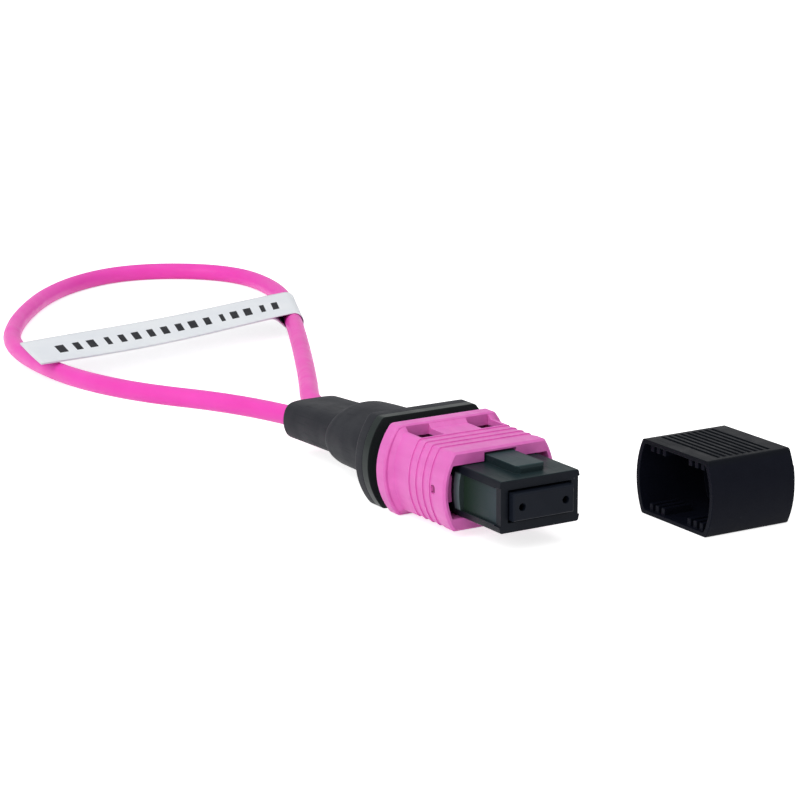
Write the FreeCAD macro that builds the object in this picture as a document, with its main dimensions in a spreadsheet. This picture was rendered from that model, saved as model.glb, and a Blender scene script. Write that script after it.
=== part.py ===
import FreeCAD, Part
import math
import os

import Sketcher
from FreeCAD import Placement, Rotation, Vector

# Multi-fibre loopback plug: a keyed nose with a floating ferrule, a sliding
# coupling shell, a rubber boot, one short loop of cable and a loose dust cap.
# Lengths are in millimetres. The origin is the centre of the ferrule's face,
# +X points out of the nose, +Z is up, and the plug lies on its rear plate.

SIZES = [
    # ferrule
    ("face_width", 6.4),
    ("face_height", 2.5),
    ("ferrule_length", 8.0),
    ("ferrule_edge", 0.12),
    ("shoulder_width", 6.8),
    ("shoulder_height", 2.9),
    ("shoulder_length", 2.8),
    ("pin_pitch", 4.6),
    ("pin_bore", 0.7),
    ("fill_window_width", 3.0),
    ("fill_window_length", 2.0),
    ("fill_window_depth", 0.8),
    ("fill_window_setback", 2.4),
    ("ferrule_proud", 0.7),
    ("ferrule_float", 1.0),
    ("face_side_gap", 0.15),
    ("face_top_gap", 0.22),
    ("shoulder_gap", 0.12),
    # soft sleeve, keeper and fibres behind the ferrule
    ("sleeve_width", 3.4),
    ("sleeve_height", 1.4),
    ("sleeve_insert", 1.4),
    ("sleeve_tail", 1.4),
    ("sleeve_gap", 0.05),
    ("keeper_width", 6.6),
    ("keeper_height", 2.8),
    ("keeper_length", 1.9),
    ("fibre_diameter", 1.1),
    ("fibre_passage", 1.6),
    # inner housing
    ("nose_width", 8.9),
    ("nose_height", 4.74),
    ("nose_side_radius", 8.4),
    ("nose_corner_radius", 0.2),
    ("nose_length", 6.3),
    ("bezel_depth", 0.8),
    ("bezel_waist", 8.2),
    ("bezel_waist_height", 3.5),
    ("latch_recess_length", 5.4),
    ("latch_recess_height", 3.3),
    ("latch_recess_span", 7.9),
    ("stop_length", 1.3),
    ("channel_span", 7.84),
    ("housing_length", 16.3),
    ("key_width", 3.0),
    ("key_height", 0.7),
    ("key_setback", 1.3),
    ("key_length", 6.2),
    ("key_bevel", 0.25),
    ("key_corner", 0.35),
    ("hook_window_length", 1.4),
    ("hook_window_height", 2.1),
    ("hook_window_setback", 11.5),
    # coupling shell
    ("shell_width", 12.0),
    ("shell_height", 7.3),
    ("shell_side_radius", 6.4),
    ("shell_corner_radius", 0.4),
    ("shell_overhang", 0.3),
    ("shell_side_wall", 0.45),
    ("shell_slide_gap", 0.08),
    ("shell_travel", 1.4),
    ("mouth_bevel", 0.2),
    ("tooth_start", 1.3),
    ("tooth_pitch", 1.15),
    ("tooth_depth", 0.12),
    ("tooth_count", 4),
    ("tongue_width", 4.0),
    ("window_width", 2.45),
    ("window_length", 2.7),
    ("window_relief", 0.6),
    ("window_relief_margin", 0.3),
    ("window_undercut", 1.1),
    ("flange_step", 0.8),
    ("flange_rise", 0.6),
    ("flange_side_radius", 6.5),
    ("flange_corner_radius", 0.6),
    ("flange_thickness", 1.5),
    ("flange_sweep", 0.4),
    ("flange_bevel", 0.15),
    ("key_gap", 0.2),
    ("lug_length", 0.9),
    ("lug_height", 2.4),
    ("lug_gap", 0.15),
    ("gate_mark", 0.85),
    ("gate_mark_setback", 1.9),
    ("gate_mark_depth", 0.25),
    # rear body
    ("travel_gap", 0.15),
    ("boss_gap", 0.2),
    ("plate_inset", 0.1),
    ("plate_foot", 0.1),
    ("plate_side_radius", 6.5),
    ("plate_corner_radius", 0.6),
    ("plate_thickness", 1.0),
    ("pusher_width", 5.6),
    ("pusher_gap", 0.1),
    ("pusher_length", 2.4),
    ("arm_thickness", 0.36),
    ("arm_height", 1.8),
    ("hook_length", 1.0),
    ("hook_gap", 0.2),
    ("post_diameter", 3.0),
    ("post_length", 6.6),
    # crimp
    ("yarn_thickness", 0.25),
    ("crimp_wall", 0.25),
    ("crimp_length", 5.4),
    ("crimp_setback", 0.6),
    # springs
    ("ferrule_spring_diameter", 2.8),
    ("ferrule_spring_wire", 0.4),
    ("ferrule_spring_turns", 5),
    ("shell_spring_gap", 0.19),
    ("shell_spring_wire", 0.2),
    ("shell_spring_turns", 8),
    ("spring_seat_gap", 0.02),
    # boot
    ("boot_flange_thickness", 1.6),
    ("boot_flange_bevel", 0.6),
    ("barrel_front_width", 9.6),
    ("barrel_front_height", 6.3),
    ("barrel_middle_width", 9.5),
    ("barrel_middle_height", 6.6),
    ("barrel_swell_width", 9.0),
    ("barrel_swell_height", 6.6),
    ("barrel_shoulder_width", 8.5),
    ("barrel_shoulder_height", 6.0),
    ("barrel_rear_width", 7.7),
    ("barrel_rear_height", 5.1),
    ("barrel_length", 9.6),
    ("barrel_end_length", 1.7),
    ("tail_root_width", 7.2),
    ("tail_root_height", 4.2),
    ("tail_middle_width", 7.0),
    ("tail_middle_height", 4.0),
    ("tail_end_width", 6.9),
    ("tail_end_height", 3.9),
    ("tail_tip_width", 5.9),
    ("tail_tip_height", 2.9),
    ("tail_side_radius", 2.7),
    ("tail_corner_radius", 1.1),
    ("tail_tip_radius", 0.9),
    ("tail_length", 9.6),
    ("tail_tip_length", 0.6),
    ("boot_sag", 0.9),
    ("boot_bore_gap", 0.05),
    # cable and label
    ("cable_diameter", 2.0),
    ("leg_start_setback", 34.4),
    ("leg_start_offset", 1.15),
    ("leg_start_drop", 0.66),
    ("label_width", 14.0),
    ("label_thickness", 0.2),
    ("label_overhang", 1.07),
    ("label_gap", 0.05),
    # dust cap
    ("cap_width", 11.5),
    ("cap_length", 9.3),
    ("cap_side_radius", 7.2),
    ("cap_corner_radius", 0.35),
    ("cap_wall", 0.4),
    ("cap_side_wall", 0.5),
    ("cap_key_gap", 0.06),
    ("cap_end_gap", 0.4),
    ("cap_rib_width", 0.5),
    ("cap_rib_pitch", 0.9),
    ("cap_rib_inset", 3.5),
    ("cap_rib_length", 3.0),
    ("cap_rib_setback", 0.3),
    ("cap_stub_width", 10.0),
    ("cap_stub_height", 4.6),
    ("cap_stub_length", 1.0),
    ("cap_stub_corner", 1.0),
    ("cap_stub_bevel", 0.5),
    ("cap_groove_width", 0.35),
    ("cap_groove_depth", 0.15),
    ("cap_groove_span", 8.4),
    ("cap_groove_pitch", 0.7),
    ("cap_groove_count", 9),
    ("cap_groove_setback", 1.6),
    ("cap_place_x", -0.5),
    ("cap_place_y", 14.5),
]

# Route of the cable between its two ends in the boot: out along the right-hand
# leg, round the loop on the table, and back along the left-hand leg.
ROUTE_MIDDLE = [
    Vector(-42.8, 1.15, -0.99),
    Vector(-57.2, 9.15, -1.46),
    Vector(-85.2, 23.55, -2.58),
    Vector(-104.8, 32.85, -3.35),
    Vector(-118.0, 33.0, -3.35),
    Vector(-125.3, 22.1, -3.35),
    Vector(-120.3, 9.9, -3.35),
    Vector(-106.3, -1.9, -3.35),
    Vector(-90.1, -10.1, -2.79),
    Vector(-65.7, -11.5, -1.78),
    Vector(-46.2, -1.15, -1.09),
]

# The cable's round section is drawn with this many sides.
CABLE_SIDES = 12

# Flag label: how far along the far leg's straight run it is folded, how far along
# the near leg's run its free end lies, and the turn of that end in degrees.
LABEL_HOLD_SHARE = 0.3265
LABEL_END_SHARE = 0.377
LABEL_END_TURN = 10.0

doc = FreeCAD.newDocument("loopback_plug")
sheet = doc.addObject("Spreadsheet::Sheet", "sizes")
for row, (alias, value) in enumerate(SIZES, start=1):
    sheet.set("A%d" % row, alias)
    sheet.set("B%d" % row, str(value))
    sheet.setAlias("B%d" % row, alias)
doc.recompute()


def size(expression):
    """The number that an expression over the sheet has."""
    result = sheet.evalExpression(expression)
    return float(getattr(result, "Value", result))


# Stations along X, from the ferrule's face to the end of the boot.
X_RIM = "(-sizes.ferrule_proud)"
X_STOP_SEAT = "(-(sizes.ferrule_length - sizes.shoulder_length))"
X_FERRULE_REAR = "(-sizes.ferrule_length)"
X_KEEPER_REAR = f"({X_FERRULE_REAR} - sizes.keeper_length)"
X_SLEEVE_REAR = f"({X_FERRULE_REAR} - sizes.sleeve_tail)"
X_RECESS = f"({X_RIM} - sizes.bezel_depth)"
X_STOP = f"({X_RECESS} - sizes.latch_recess_length)"
X_STOP_REAR = f"({X_STOP} - sizes.stop_length)"
X_HOUSING_REAR = f"({X_RIM} - sizes.housing_length)"
X_KEY = f"({X_RIM} - sizes.key_setback)"
X_KEY_REAR = f"({X_KEY} - sizes.key_length)"
X_SHELL = f"({X_RIM} - sizes.nose_length)"
X_SHELL_REAR = f"({X_HOUSING_REAR} - sizes.shell_overhang)"
X_FLANGE = f"({X_SHELL_REAR} + sizes.flange_thickness)"
X_LUG_REAR = f"({X_STOP_REAR} - sizes.lug_length)"
X_PLATE = f"({X_SHELL_REAR} - sizes.shell_travel - sizes.travel_gap)"
X_PLATE_REAR = f"({X_PLATE} - sizes.plate_thickness)"
X_PUSHER = f"({X_HOUSING_REAR} + sizes.pusher_length)"
X_HOOK_WINDOW = f"({X_RIM} - sizes.hook_window_setback)"
X_HOOK = f"({X_HOOK_WINDOW} - sizes.hook_gap)"
X_POST_REAR = f"({X_PLATE_REAR} - sizes.post_length)"
X_CRIMP = f"({X_PLATE_REAR} - sizes.crimp_setback)"
X_BARREL = f"({X_PLATE_REAR} - sizes.boot_flange_thickness)"
X_BARREL_REAR = f"({X_BARREL} - sizes.barrel_length)"
X_TAIL_END = f"({X_BARREL_REAR} - sizes.tail_length)"

# Sections that two pieces share.
CAVITY_WIDTH = "(sizes.shoulder_width + 2 * sizes.shoulder_gap)"
CAVITY_HEIGHT = "(sizes.shoulder_height + 2 * sizes.shoulder_gap)"
BORE_WIDTH = "(sizes.shell_width - 2 * sizes.shell_side_wall)"
BORE_HEIGHT = "(sizes.nose_height + 2 * sizes.shell_slide_gap)"
BORE_RADIUS = "(sizes.shell_side_radius - sizes.shell_side_wall)"
FLANGE_WIDTH = "(sizes.shell_width + 2 * sizes.flange_step)"
FLANGE_HEIGHT = "(sizes.shell_height + 2 * sizes.flange_rise)"
PLATE_WIDTH = f"({FLANGE_WIDTH} - 2 * sizes.plate_inset)"
PLATE_HEIGHT = f"({FLANGE_HEIGHT} + 2 * sizes.plate_foot)"
SHELL_SPRING_DIAMETER = f"(({BORE_WIDTH} - sizes.channel_span) / 2 - 2 * sizes.shell_spring_gap)"
CRIMP_BORE = "(sizes.post_diameter + 2 * sizes.yarn_thickness)"
CRIMP_OUTSIDE = f"({CRIMP_BORE} + 2 * sizes.crimp_wall)"
CAP_CAVITY_HEIGHT = "(sizes.nose_height + 2 * (sizes.key_height + sizes.cap_key_gap))"
CAP_HEIGHT = f"({CAP_CAVITY_HEIGHT} + 2 * sizes.cap_wall)"
CAP_DEPTH = "(sizes.nose_length + sizes.ferrule_proud + sizes.cap_end_gap)"


def new_body(label):
    """A body with the label that names its file."""
    body = doc.addObject("PartDesign::Body", label)
    body.Label = label
    return body


def origin_feature(body, role):
    """One of a body's own origin planes or axes."""
    return next(item for item in body.Origin.OriginFeatures if item.Role == role)


def cross_section(body, name, station, drop="0"):
    """An empty sketch across the body at a station along X, lowered by a drop."""
    sketch = body.newObject("Sketcher::SketchObject", name)
    sketch.AttachmentSupport = [(origin_feature(body, "YZ_Plane"), "")]
    sketch.MapMode = "FlatFace"
    sketch.setExpression("AttachmentOffset.Base.z", station)
    sketch.setExpression("AttachmentOffset.Base.y", f"-({drop})")
    return sketch


def dimension(sketch, name, constraint, expression):
    """A named constraint that follows an expression."""
    index = sketch.addConstraint(constraint)
    sketch.renameConstraint(index, name)
    sketch.setExpression("Constraints." + name, expression)


def offset_dimension(sketch, name, kind, geometry, point, expression):
    """A point's place along one axis, measured from the origin on its own side."""
    value = size(expression)
    if value >= 0:
        constraint = Sketcher.Constraint(kind, -1, 1, geometry, point, value)
        dimension(sketch, name, constraint, expression)
    else:
        constraint = Sketcher.Constraint(kind, geometry, point, -1, 1, -value)
        dimension(sketch, name, constraint, f"-({expression})")


def add_rectangle(sketch, tag, left, right, low, high):
    """A rectangle given by its four sides."""
    y0, y1, z0, z1 = size(left), size(right), size(low), size(high)
    corners = [Vector(y0, z0), Vector(y1, z0), Vector(y1, z1), Vector(y0, z1)]
    first = sketch.GeometryCount
    for index in range(4):
        sketch.addGeometry(Part.LineSegment(corners[index], corners[(index + 1) % 4]))
    for index in range(4):
        follower = first + (index + 1) % 4
        sketch.addConstraint(Sketcher.Constraint("Coincident", first + index, 2, follower, 1))
    for index in (0, 2):
        sketch.addConstraint(Sketcher.Constraint("Horizontal", first + index))
    for index in (1, 3):
        sketch.addConstraint(Sketcher.Constraint("Vertical", first + index))
    offset_dimension(sketch, tag + "_left", "DistanceX", first, 1, left)
    offset_dimension(sketch, tag + "_low", "DistanceY", first, 1, low)
    offset_dimension(sketch, tag + "_right", "DistanceX", first + 2, 1, right)
    offset_dimension(sketch, tag + "_high", "DistanceY", first + 2, 1, high)


def rectangle(body, name, station, width, height):
    """A sketch with one rectangle centred on the axis."""
    sketch = cross_section(body, name, station)
    add_rectangle(sketch, "box", f"-({width}) / 2", f"({width}) / 2", f"-({height}) / 2", f"({height}) / 2")
    return sketch


def side_pair(body, name, station, inner_span, outer_span, height):
    """A sketch with one rectangle on each side of the axis."""
    sketch = cross_section(body, name, station)
    low, high = f"-({height}) / 2", f"({height}) / 2"
    add_rectangle(sketch, "right", f"({inner_span}) / 2", f"({outer_span}) / 2", low, high)
    add_rectangle(sketch, "left", f"-({outer_span}) / 2", f"-({inner_span}) / 2", low, high)
    return sketch


def circle(body, name, station, diameter):
    """A sketch with one circle on the axis."""
    sketch = cross_section(body, name, station)
    sketch.addGeometry(Part.Circle(Vector(0, 0), Vector(0, 0, 1), size(diameter) / 2))
    sketch.addConstraint(Sketcher.Constraint("Coincident", 0, 3, -1, 1))
    constraint = Sketcher.Constraint("Radius", 0, size(diameter) / 2)
    dimension(sketch, "radius", constraint, f"({diameter}) / 2")
    return sketch


def ellipse(body, name, station, width, height, drop):
    """A sketch with one ellipse, wider than high."""
    sketch = cross_section(body, name, station, drop)
    half_width, half_height = size(width) / 2, size(height) / 2
    sketch.addGeometry(Part.Ellipse(Vector(0, 0), half_width, half_height))
    sketch.exposeInternalGeometry(0)
    sketch.addConstraint(Sketcher.Constraint("Coincident", 0, 3, -1, 1))
    sketch.addConstraint(Sketcher.Constraint("Horizontal", 1))
    dimension(sketch, "across", Sketcher.Constraint("Distance", 1, 2 * half_width), width)
    dimension(sketch, "upright", Sketcher.Constraint("Distance", 2, 2 * half_height), height)
    return sketch


def oval(body, name, station, width, height, side_radius, corner_radius, drop="0"):
    """A sketch with flat top and bottom, bowed sides and rounded corners."""
    sketch = cross_section(body, name, station, drop)
    half_width, half_height = size(width) / 2, size(height) / 2
    bow, corner = size(side_radius), size(corner_radius)
    centre = half_width - bow
    rise = half_height - corner
    reach = math.sqrt((bow - corner) ** 2 - rise ** 2)
    knee = centre + reach
    turn = math.atan2(rise, reach)

    def arc(x, y, radius, start, end):
        return Part.ArcOfCircle(Part.Circle(Vector(x, y), Vector(0, 0, 1), radius), start, end)

    quarter, half, full = math.pi / 2, math.pi, 2 * math.pi
    outline = sketch.addGeometry([
        arc(centre, 0, bow, -turn, turn),
        arc(knee, rise, corner, turn, quarter),
        Part.LineSegment(Vector(knee, half_height), Vector(-knee, half_height)),
        arc(-knee, rise, corner, quarter, half - turn),
        arc(-centre, 0, bow, half - turn, half + turn),
        arc(-knee, -rise, corner, half + turn, half + quarter),
        Part.LineSegment(Vector(-knee, -half_height), Vector(knee, -half_height)),
        arc(knee, -rise, corner, half + quarter, full - turn),
    ])
    right, first_corner, top, second_corner, left, third_corner, bottom, last_corner = outline
    corners = (first_corner, second_corner, third_corner, last_corner)
    for index, follower in zip(outline, (*outline[1:], right)):
        sketch.addConstraint(Sketcher.Constraint("Tangent", index, 2, follower, 1))
    for side in (right, left):
        sketch.addConstraint(Sketcher.Constraint("PointOnObject", side, 3, -1))
    for follower in corners[1:]:
        sketch.addConstraint(Sketcher.Constraint("Equal", corners[0], follower))
    sketch.addConstraint(Sketcher.Constraint("Equal", right, left))
    for line in (top, bottom):
        sketch.addConstraint(Sketcher.Constraint("Horizontal", line))
    dimension(sketch, "bow", Sketcher.Constraint("Radius", right, bow), side_radius)
    dimension(sketch, "corner", Sketcher.Constraint("Radius", corners[0], corner), corner_radius)
    offset_dimension(sketch, "top", "DistanceY", top, 1, f"({height}) / 2")
    offset_dimension(sketch, "bottom", "DistanceY", bottom, 1, f"-({height}) / 2")
    for tag, side, sign in (("right", right, ""), ("left", left, "-")):
        expression = f"{sign}({width}) / 2"
        point = sketch.addGeometry(Part.Point(Vector(size(expression), 0)), True)
        sketch.addConstraint(Sketcher.Constraint("PointOnObject", point, 1, side))
        sketch.addConstraint(Sketcher.Constraint("PointOnObject", point, 1, -1))
        offset_dimension(sketch, tag, "DistanceX", point, 1, expression)
    return sketch


def rebuild():
    """Recompute, and stop at the first object that has failed."""
    doc.recompute()
    for item in doc.Objects:
        if "Invalid" in item.State or "Error" in item.State:
            raise RuntimeError("%s did not recompute: %s" % (item.Name, item.getStatusString()))


def pad(body, sketch, length, forward=False):
    """Material from a sketch towards the rear, or forward."""
    feature = body.newObject("PartDesign::Pad", sketch.Name + "_pad")
    feature.Profile = sketch
    feature.setExpression("Length", length)
    feature.Reversed = not forward
    return feature


def pocket(body, sketch, length, forward=False):
    """A cut from a sketch towards the rear, or forward, which must remove material."""
    rebuild()
    before = body.Shape.Volume
    feature = body.newObject("PartDesign::Pocket", sketch.Name + "_cut")
    feature.Profile = sketch
    feature.setExpression("Length", length)
    feature.Reversed = forward
    rebuild()
    if body.Shape.Volume >= before - 1e-6:
        raise RuntimeError("%s removes nothing" % feature.Name)
    return feature


def loft(body, name, sections):
    """A skin of straight lines through several sketches."""
    feature = body.newObject("PartDesign::AdditiveLoft", name)
    feature.Profile = sections[0]
    feature.Sections = sections[1:]
    feature.Ruled = True
    return feature


def dress(body, kind, name, amount, chosen):
    """A fillet or chamfer on the body's edges that a test picks."""
    rebuild()
    base = body.Tip
    edges = ["Edge%d" % number for number, edge in enumerate(base.Shape.Edges, start=1) if chosen(edge)]
    if not edges:
        raise RuntimeError("%s finds no edge" % name)
    feature = body.newObject("PartDesign::" + kind, name)
    feature.Base = (base, edges)
    feature.setExpression("Radius" if kind == "Fillet" else "Size", amount)
    return feature


def lies_at(edge, station):
    """True for an edge that lies wholly in the plane of a station."""
    box = edge.BoundBox
    return abs(box.XMin - station) < 1e-4 and abs(box.XMax - station) < 1e-4


def within(edge, width, height):
    """True for an edge inside a box of the given width and height about the axis."""
    box = edge.BoundBox
    across = max(abs(box.YMin), abs(box.YMax))
    upright = max(abs(box.ZMin), abs(box.ZMax))
    return across < width / 2 + 1e-3 and upright < height / 2 + 1e-3


def coil(label, diameter, wire, turns, front, rear, across):
    """An open coil spring along X between two seats, a ruled skin through rings of its wire."""
    rings_per_turn = 10
    ring_sides = 6
    wire_radius = size(f"({wire}) / 2")
    radius = size(f"({diameter} - {wire}) / 2")
    start = size(f"{front} - {wire} / 2 - sizes.spring_seat_gap")
    end = size(f"{rear} + {wire} / 2 + sizes.spring_seat_gap")
    steps = rings_per_turn * round(size(turns))
    step_angle = 2 * math.pi / rings_per_turn
    lead = (end - start) / (steps * step_angle)
    rings = []
    for step in range(steps + 1):
        angle = step * step_angle
        outward = Vector(0, math.cos(angle), math.sin(angle))
        centre = Vector(start + lead * angle, across, 0) + outward * radius
        ahead = Vector(lead, -radius * math.sin(angle), radius * math.cos(angle)).normalize()
        sideways = ahead.cross(outward)
        corners = []
        for side in range(ring_sides + 1):
            turn = 2 * math.pi * side / ring_sides
            corners.append(centre + (outward * math.cos(turn) + sideways * math.sin(turn)) * wire_radius)
        rings.append(Part.makePolygon(corners))
    spring = doc.addObject("Part::Feature", label)
    spring.Shape = Part.makeLoft(rings, True, True)
    spring.Label = label
    return spring


# Ferrule: face block, wider shoulder, two through bores for guide pins.
ferrule = new_body("ferrule")
pad(ferrule, rectangle(ferrule, "face_block", "0", "sizes.face_width", "sizes.face_height"),
    "sizes.ferrule_length")
dress(ferrule, "Chamfer", "face_edge", "sizes.ferrule_edge", lambda edge: lies_at(edge, 0))
pad(ferrule, rectangle(ferrule, "shoulder", X_STOP_SEAT, "sizes.shoulder_width", "sizes.shoulder_height"),
    "sizes.shoulder_length")
pin_bores = cross_section(ferrule, "pin_bores", "0")
for pin_index, (pin_tag, pin_sign) in enumerate((("right", ""), ("left", "-"))):
    pin_place = f"{pin_sign}sizes.pin_pitch / 2"
    pin_middle = Vector(size(pin_place), 0)
    pin_bores.addGeometry(Part.Circle(pin_middle, Vector(0, 0, 1), size("sizes.pin_bore / 2")))
    pin_bores.addConstraint(Sketcher.Constraint("PointOnObject", pin_index, 3, -1))
    offset_dimension(pin_bores, pin_tag, "DistanceX", pin_index, 3, pin_place)
    pin_radius = Sketcher.Constraint("Radius", pin_index, size("sizes.pin_bore / 2"))
    dimension(pin_bores, pin_tag + "_radius", pin_radius, "sizes.pin_bore / 2")
pocket(ferrule, pin_bores, "sizes.ferrule_length")
fill_window = cross_section(ferrule, "fill_window", "-sizes.fill_window_setback")
add_rectangle(fill_window, "box", "-sizes.fill_window_width / 2", "sizes.fill_window_width / 2",
              "sizes.face_height / 2 - sizes.fill_window_depth",
              "sizes.face_height / 2 + sizes.fill_window_depth")
pocket(ferrule, fill_window, "sizes.fill_window_length")
sleeve_seat = rectangle(ferrule, "sleeve_seat", X_FERRULE_REAR, "sizes.sleeve_width + 2 * sizes.sleeve_gap",
                        "sizes.sleeve_height + 2 * sizes.sleeve_gap")
pocket(ferrule, sleeve_seat, "sizes.sleeve_insert", forward=True)

# Soft sleeve that keeps the fibres straight behind the ferrule.
ferrule_boot = new_body("ferrule_boot")
pad(ferrule_boot, rectangle(ferrule_boot, "sleeve", f"{X_FERRULE_REAR} + sizes.sleeve_insert",
                            "sizes.sleeve_width", "sizes.sleeve_height"),
    "sizes.sleeve_insert + sizes.sleeve_tail")

# Keeper plate that passes the spring's push to the ferrule.
pin_keeper = new_body("pin_keeper")
pad(pin_keeper, rectangle(pin_keeper, "keeper", X_FERRULE_REAR, "sizes.keeper_width", "sizes.keeper_height"),
    "sizes.keeper_length")
keeper_slot = rectangle(pin_keeper, "keeper_slot", X_FERRULE_REAR, "sizes.sleeve_width + 2 * sizes.sleeve_gap",
                        "sizes.sleeve_height + 2 * sizes.sleeve_gap")
pocket(pin_keeper, keeper_slot, "sizes.keeper_length")

# Fibres, gathered into one round bundle, from the soft sleeve into the post.
fibre_bundle = new_body("fibre_bundle")
pad(fibre_bundle, circle(fibre_bundle, "bundle", X_SLEEVE_REAR, "sizes.fibre_diameter"),
    f"{X_SLEEVE_REAR} - {X_POST_REAR}")

# Inner housing: keyed nose with latch recesses, a stop behind them, and a
# narrower rear part whose sides are the channels of the shell's springs.
inner_housing = new_body("inner_housing")
pad(inner_housing, oval(inner_housing, "nose", X_RIM, "sizes.nose_width", "sizes.nose_height",
                        "sizes.nose_side_radius", "sizes.nose_corner_radius"),
    "sizes.housing_length")
bezel_waist = side_pair(inner_housing, "bezel_waist", X_RIM, "sizes.bezel_waist", "sizes.nose_width + 1",
                        "sizes.bezel_waist_height")
pocket(inner_housing, bezel_waist, "sizes.bezel_depth")
latch_recess = side_pair(inner_housing, "latch_recess", X_RECESS, "sizes.latch_recess_span",
                         "sizes.nose_width + 1", "sizes.latch_recess_height")
pocket(inner_housing, latch_recess, "sizes.latch_recess_length")
spring_channel = side_pair(inner_housing, "spring_channel", X_STOP_REAR, "sizes.channel_span",
                           "sizes.nose_width + 1", "sizes.nose_height + 1")
pocket(inner_housing, spring_channel, f"{X_STOP_REAR} - {X_HOUSING_REAR}")
key = cross_section(inner_housing, "key", X_KEY)
add_rectangle(key, "box", "-sizes.key_width / 2", "sizes.key_width / 2", "sizes.nose_height / 2 - 0.3",
              "sizes.nose_height / 2 + sizes.key_height")
pad(inner_housing, key, "sizes.key_length")
key_top = size("sizes.nose_height / 2 + sizes.key_height")
key_front = size(X_KEY)
dress(inner_housing, "Chamfer", "key_corner", "sizes.key_corner",
      lambda edge: (lies_at(edge, key_front) and edge.BoundBox.YLength < 1e-3
                    and edge.BoundBox.ZMax > key_top - 1e-3))
dress(inner_housing, "Chamfer", "key_bevel", "sizes.key_bevel",
      lambda edge: lies_at(edge, key_front) and edge.BoundBox.ZMin > key_top - 1e-3)
face_opening = rectangle(inner_housing, "face_opening", X_RIM, "sizes.face_width + 2 * sizes.face_side_gap",
                         "sizes.face_height + 2 * sizes.face_top_gap")
pocket(inner_housing, face_opening, "sizes.housing_length")
cavity = rectangle(inner_housing, "cavity", X_STOP_SEAT, CAVITY_WIDTH, CAVITY_HEIGHT)
pocket(inner_housing, cavity, f"{X_STOP_SEAT} - {X_HOUSING_REAR}")
hook_window = side_pair(inner_housing, "hook_window", X_HOOK_WINDOW, "sizes.face_width",
                        "sizes.nose_width + 1", "sizes.hook_window_height")
pocket(inner_housing, hook_window, "sizes.hook_window_length")

# Coupling shell: plain front band, saw-tooth grip, rear flange with a slope in
# front of it, and two windows beside a tongue on top.
coupling_shell = new_body("coupling_shell")
CORE_WIDTH = "(sizes.shell_width - 2 * sizes.tooth_depth)"
CORE_HEIGHT = "(sizes.shell_height - 2 * sizes.tooth_depth)"
CORE_RADIUS = "(sizes.shell_side_radius - sizes.tooth_depth)"
X_TOOTH = f"({X_SHELL} - sizes.tooth_start)"
X_TEETH_END = f"({X_TOOTH} - sizes.tooth_count * sizes.tooth_pitch)"
pad(coupling_shell, oval(coupling_shell, "front_band", X_SHELL, "sizes.shell_width", "sizes.shell_height",
                         "sizes.shell_side_radius", "sizes.shell_corner_radius"),
    "sizes.tooth_start")
dress(coupling_shell, "Chamfer", "mouth_bevel", "sizes.mouth_bevel",
      lambda edge: lies_at(edge, size(X_SHELL)))
pad(coupling_shell, oval(coupling_shell, "rear_band", X_TEETH_END, "sizes.shell_width", "sizes.shell_height",
                         "sizes.shell_side_radius", "sizes.shell_corner_radius"),
    f"{X_TEETH_END} - {X_SHELL_REAR}")
tooth_crest = oval(coupling_shell, "tooth_crest", X_TOOTH, "sizes.shell_width", "sizes.shell_height",
                   "sizes.shell_side_radius", "sizes.shell_corner_radius")
tooth_root = oval(coupling_shell, "tooth_root", f"{X_TOOTH} - sizes.tooth_pitch", CORE_WIDTH, CORE_HEIGHT,
                  CORE_RADIUS, "sizes.shell_corner_radius")
tooth = loft(coupling_shell, "tooth", [tooth_crest, tooth_root])
doc.recompute()
teeth = coupling_shell.newObject("PartDesign::LinearPattern", "teeth")
teeth.Originals = [tooth]
teeth.Direction = (origin_feature(coupling_shell, "X_Axis"), [""])
teeth.Reversed = True
teeth.setExpression("Length", "(sizes.tooth_count - 1) * sizes.tooth_pitch")
teeth.setExpression("Occurrences", "sizes.tooth_count")
coupling_shell.Tip = teeth
pad(coupling_shell, oval(coupling_shell, "flange", X_FLANGE, FLANGE_WIDTH, FLANGE_HEIGHT,
                         "sizes.flange_side_radius", "sizes.flange_corner_radius"),
    "sizes.flange_thickness")
dress(coupling_shell, "Chamfer", "flange_sweep", "sizes.flange_sweep",
      lambda edge: (lies_at(edge, size(X_FLANGE))
                    and within(edge, size("sizes.shell_width"), size("sizes.shell_height"))))
SLOPE_FOOT_WIDTH = size("sizes.shell_width + 2 * sizes.flange_sweep")
SLOPE_FOOT_HEIGHT = size("sizes.shell_height + 2 * sizes.flange_sweep")
dress(coupling_shell, "Chamfer", "flange_bevel", "sizes.flange_bevel",
      lambda edge: (lies_at(edge, size(X_FLANGE)) or lies_at(edge, size(X_SHELL_REAR)))
      and not within(edge, SLOPE_FOOT_WIDTH, SLOPE_FOOT_HEIGHT))
bore = oval(coupling_shell, "bore", X_SHELL, BORE_WIDTH, BORE_HEIGHT, BORE_RADIUS, "sizes.nose_corner_radius")
pocket(coupling_shell, bore, f"{X_SHELL} - {X_SHELL_REAR}")
lugs = side_pair(coupling_shell, "lugs", X_STOP_REAR, "sizes.channel_span + 2 * sizes.lug_gap",
                 f"{BORE_WIDTH} + sizes.shell_side_wall", "sizes.lug_height")
pad(coupling_shell, lugs, "sizes.lug_length")
key_notch = cross_section(coupling_shell, "key_notch", X_SHELL)
add_rectangle(key_notch, "box", "-sizes.key_width / 2 - sizes.key_gap", "sizes.key_width / 2 + sizes.key_gap",
              "sizes.nose_height / 2 - 0.3", "sizes.nose_height / 2 + sizes.key_height + sizes.key_gap")
pocket(coupling_shell, key_notch, f"{X_SHELL} - {X_KEY_REAR} + sizes.key_gap")
windows = cross_section(coupling_shell, "windows", f"{X_FLANGE} + sizes.window_length")
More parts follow.
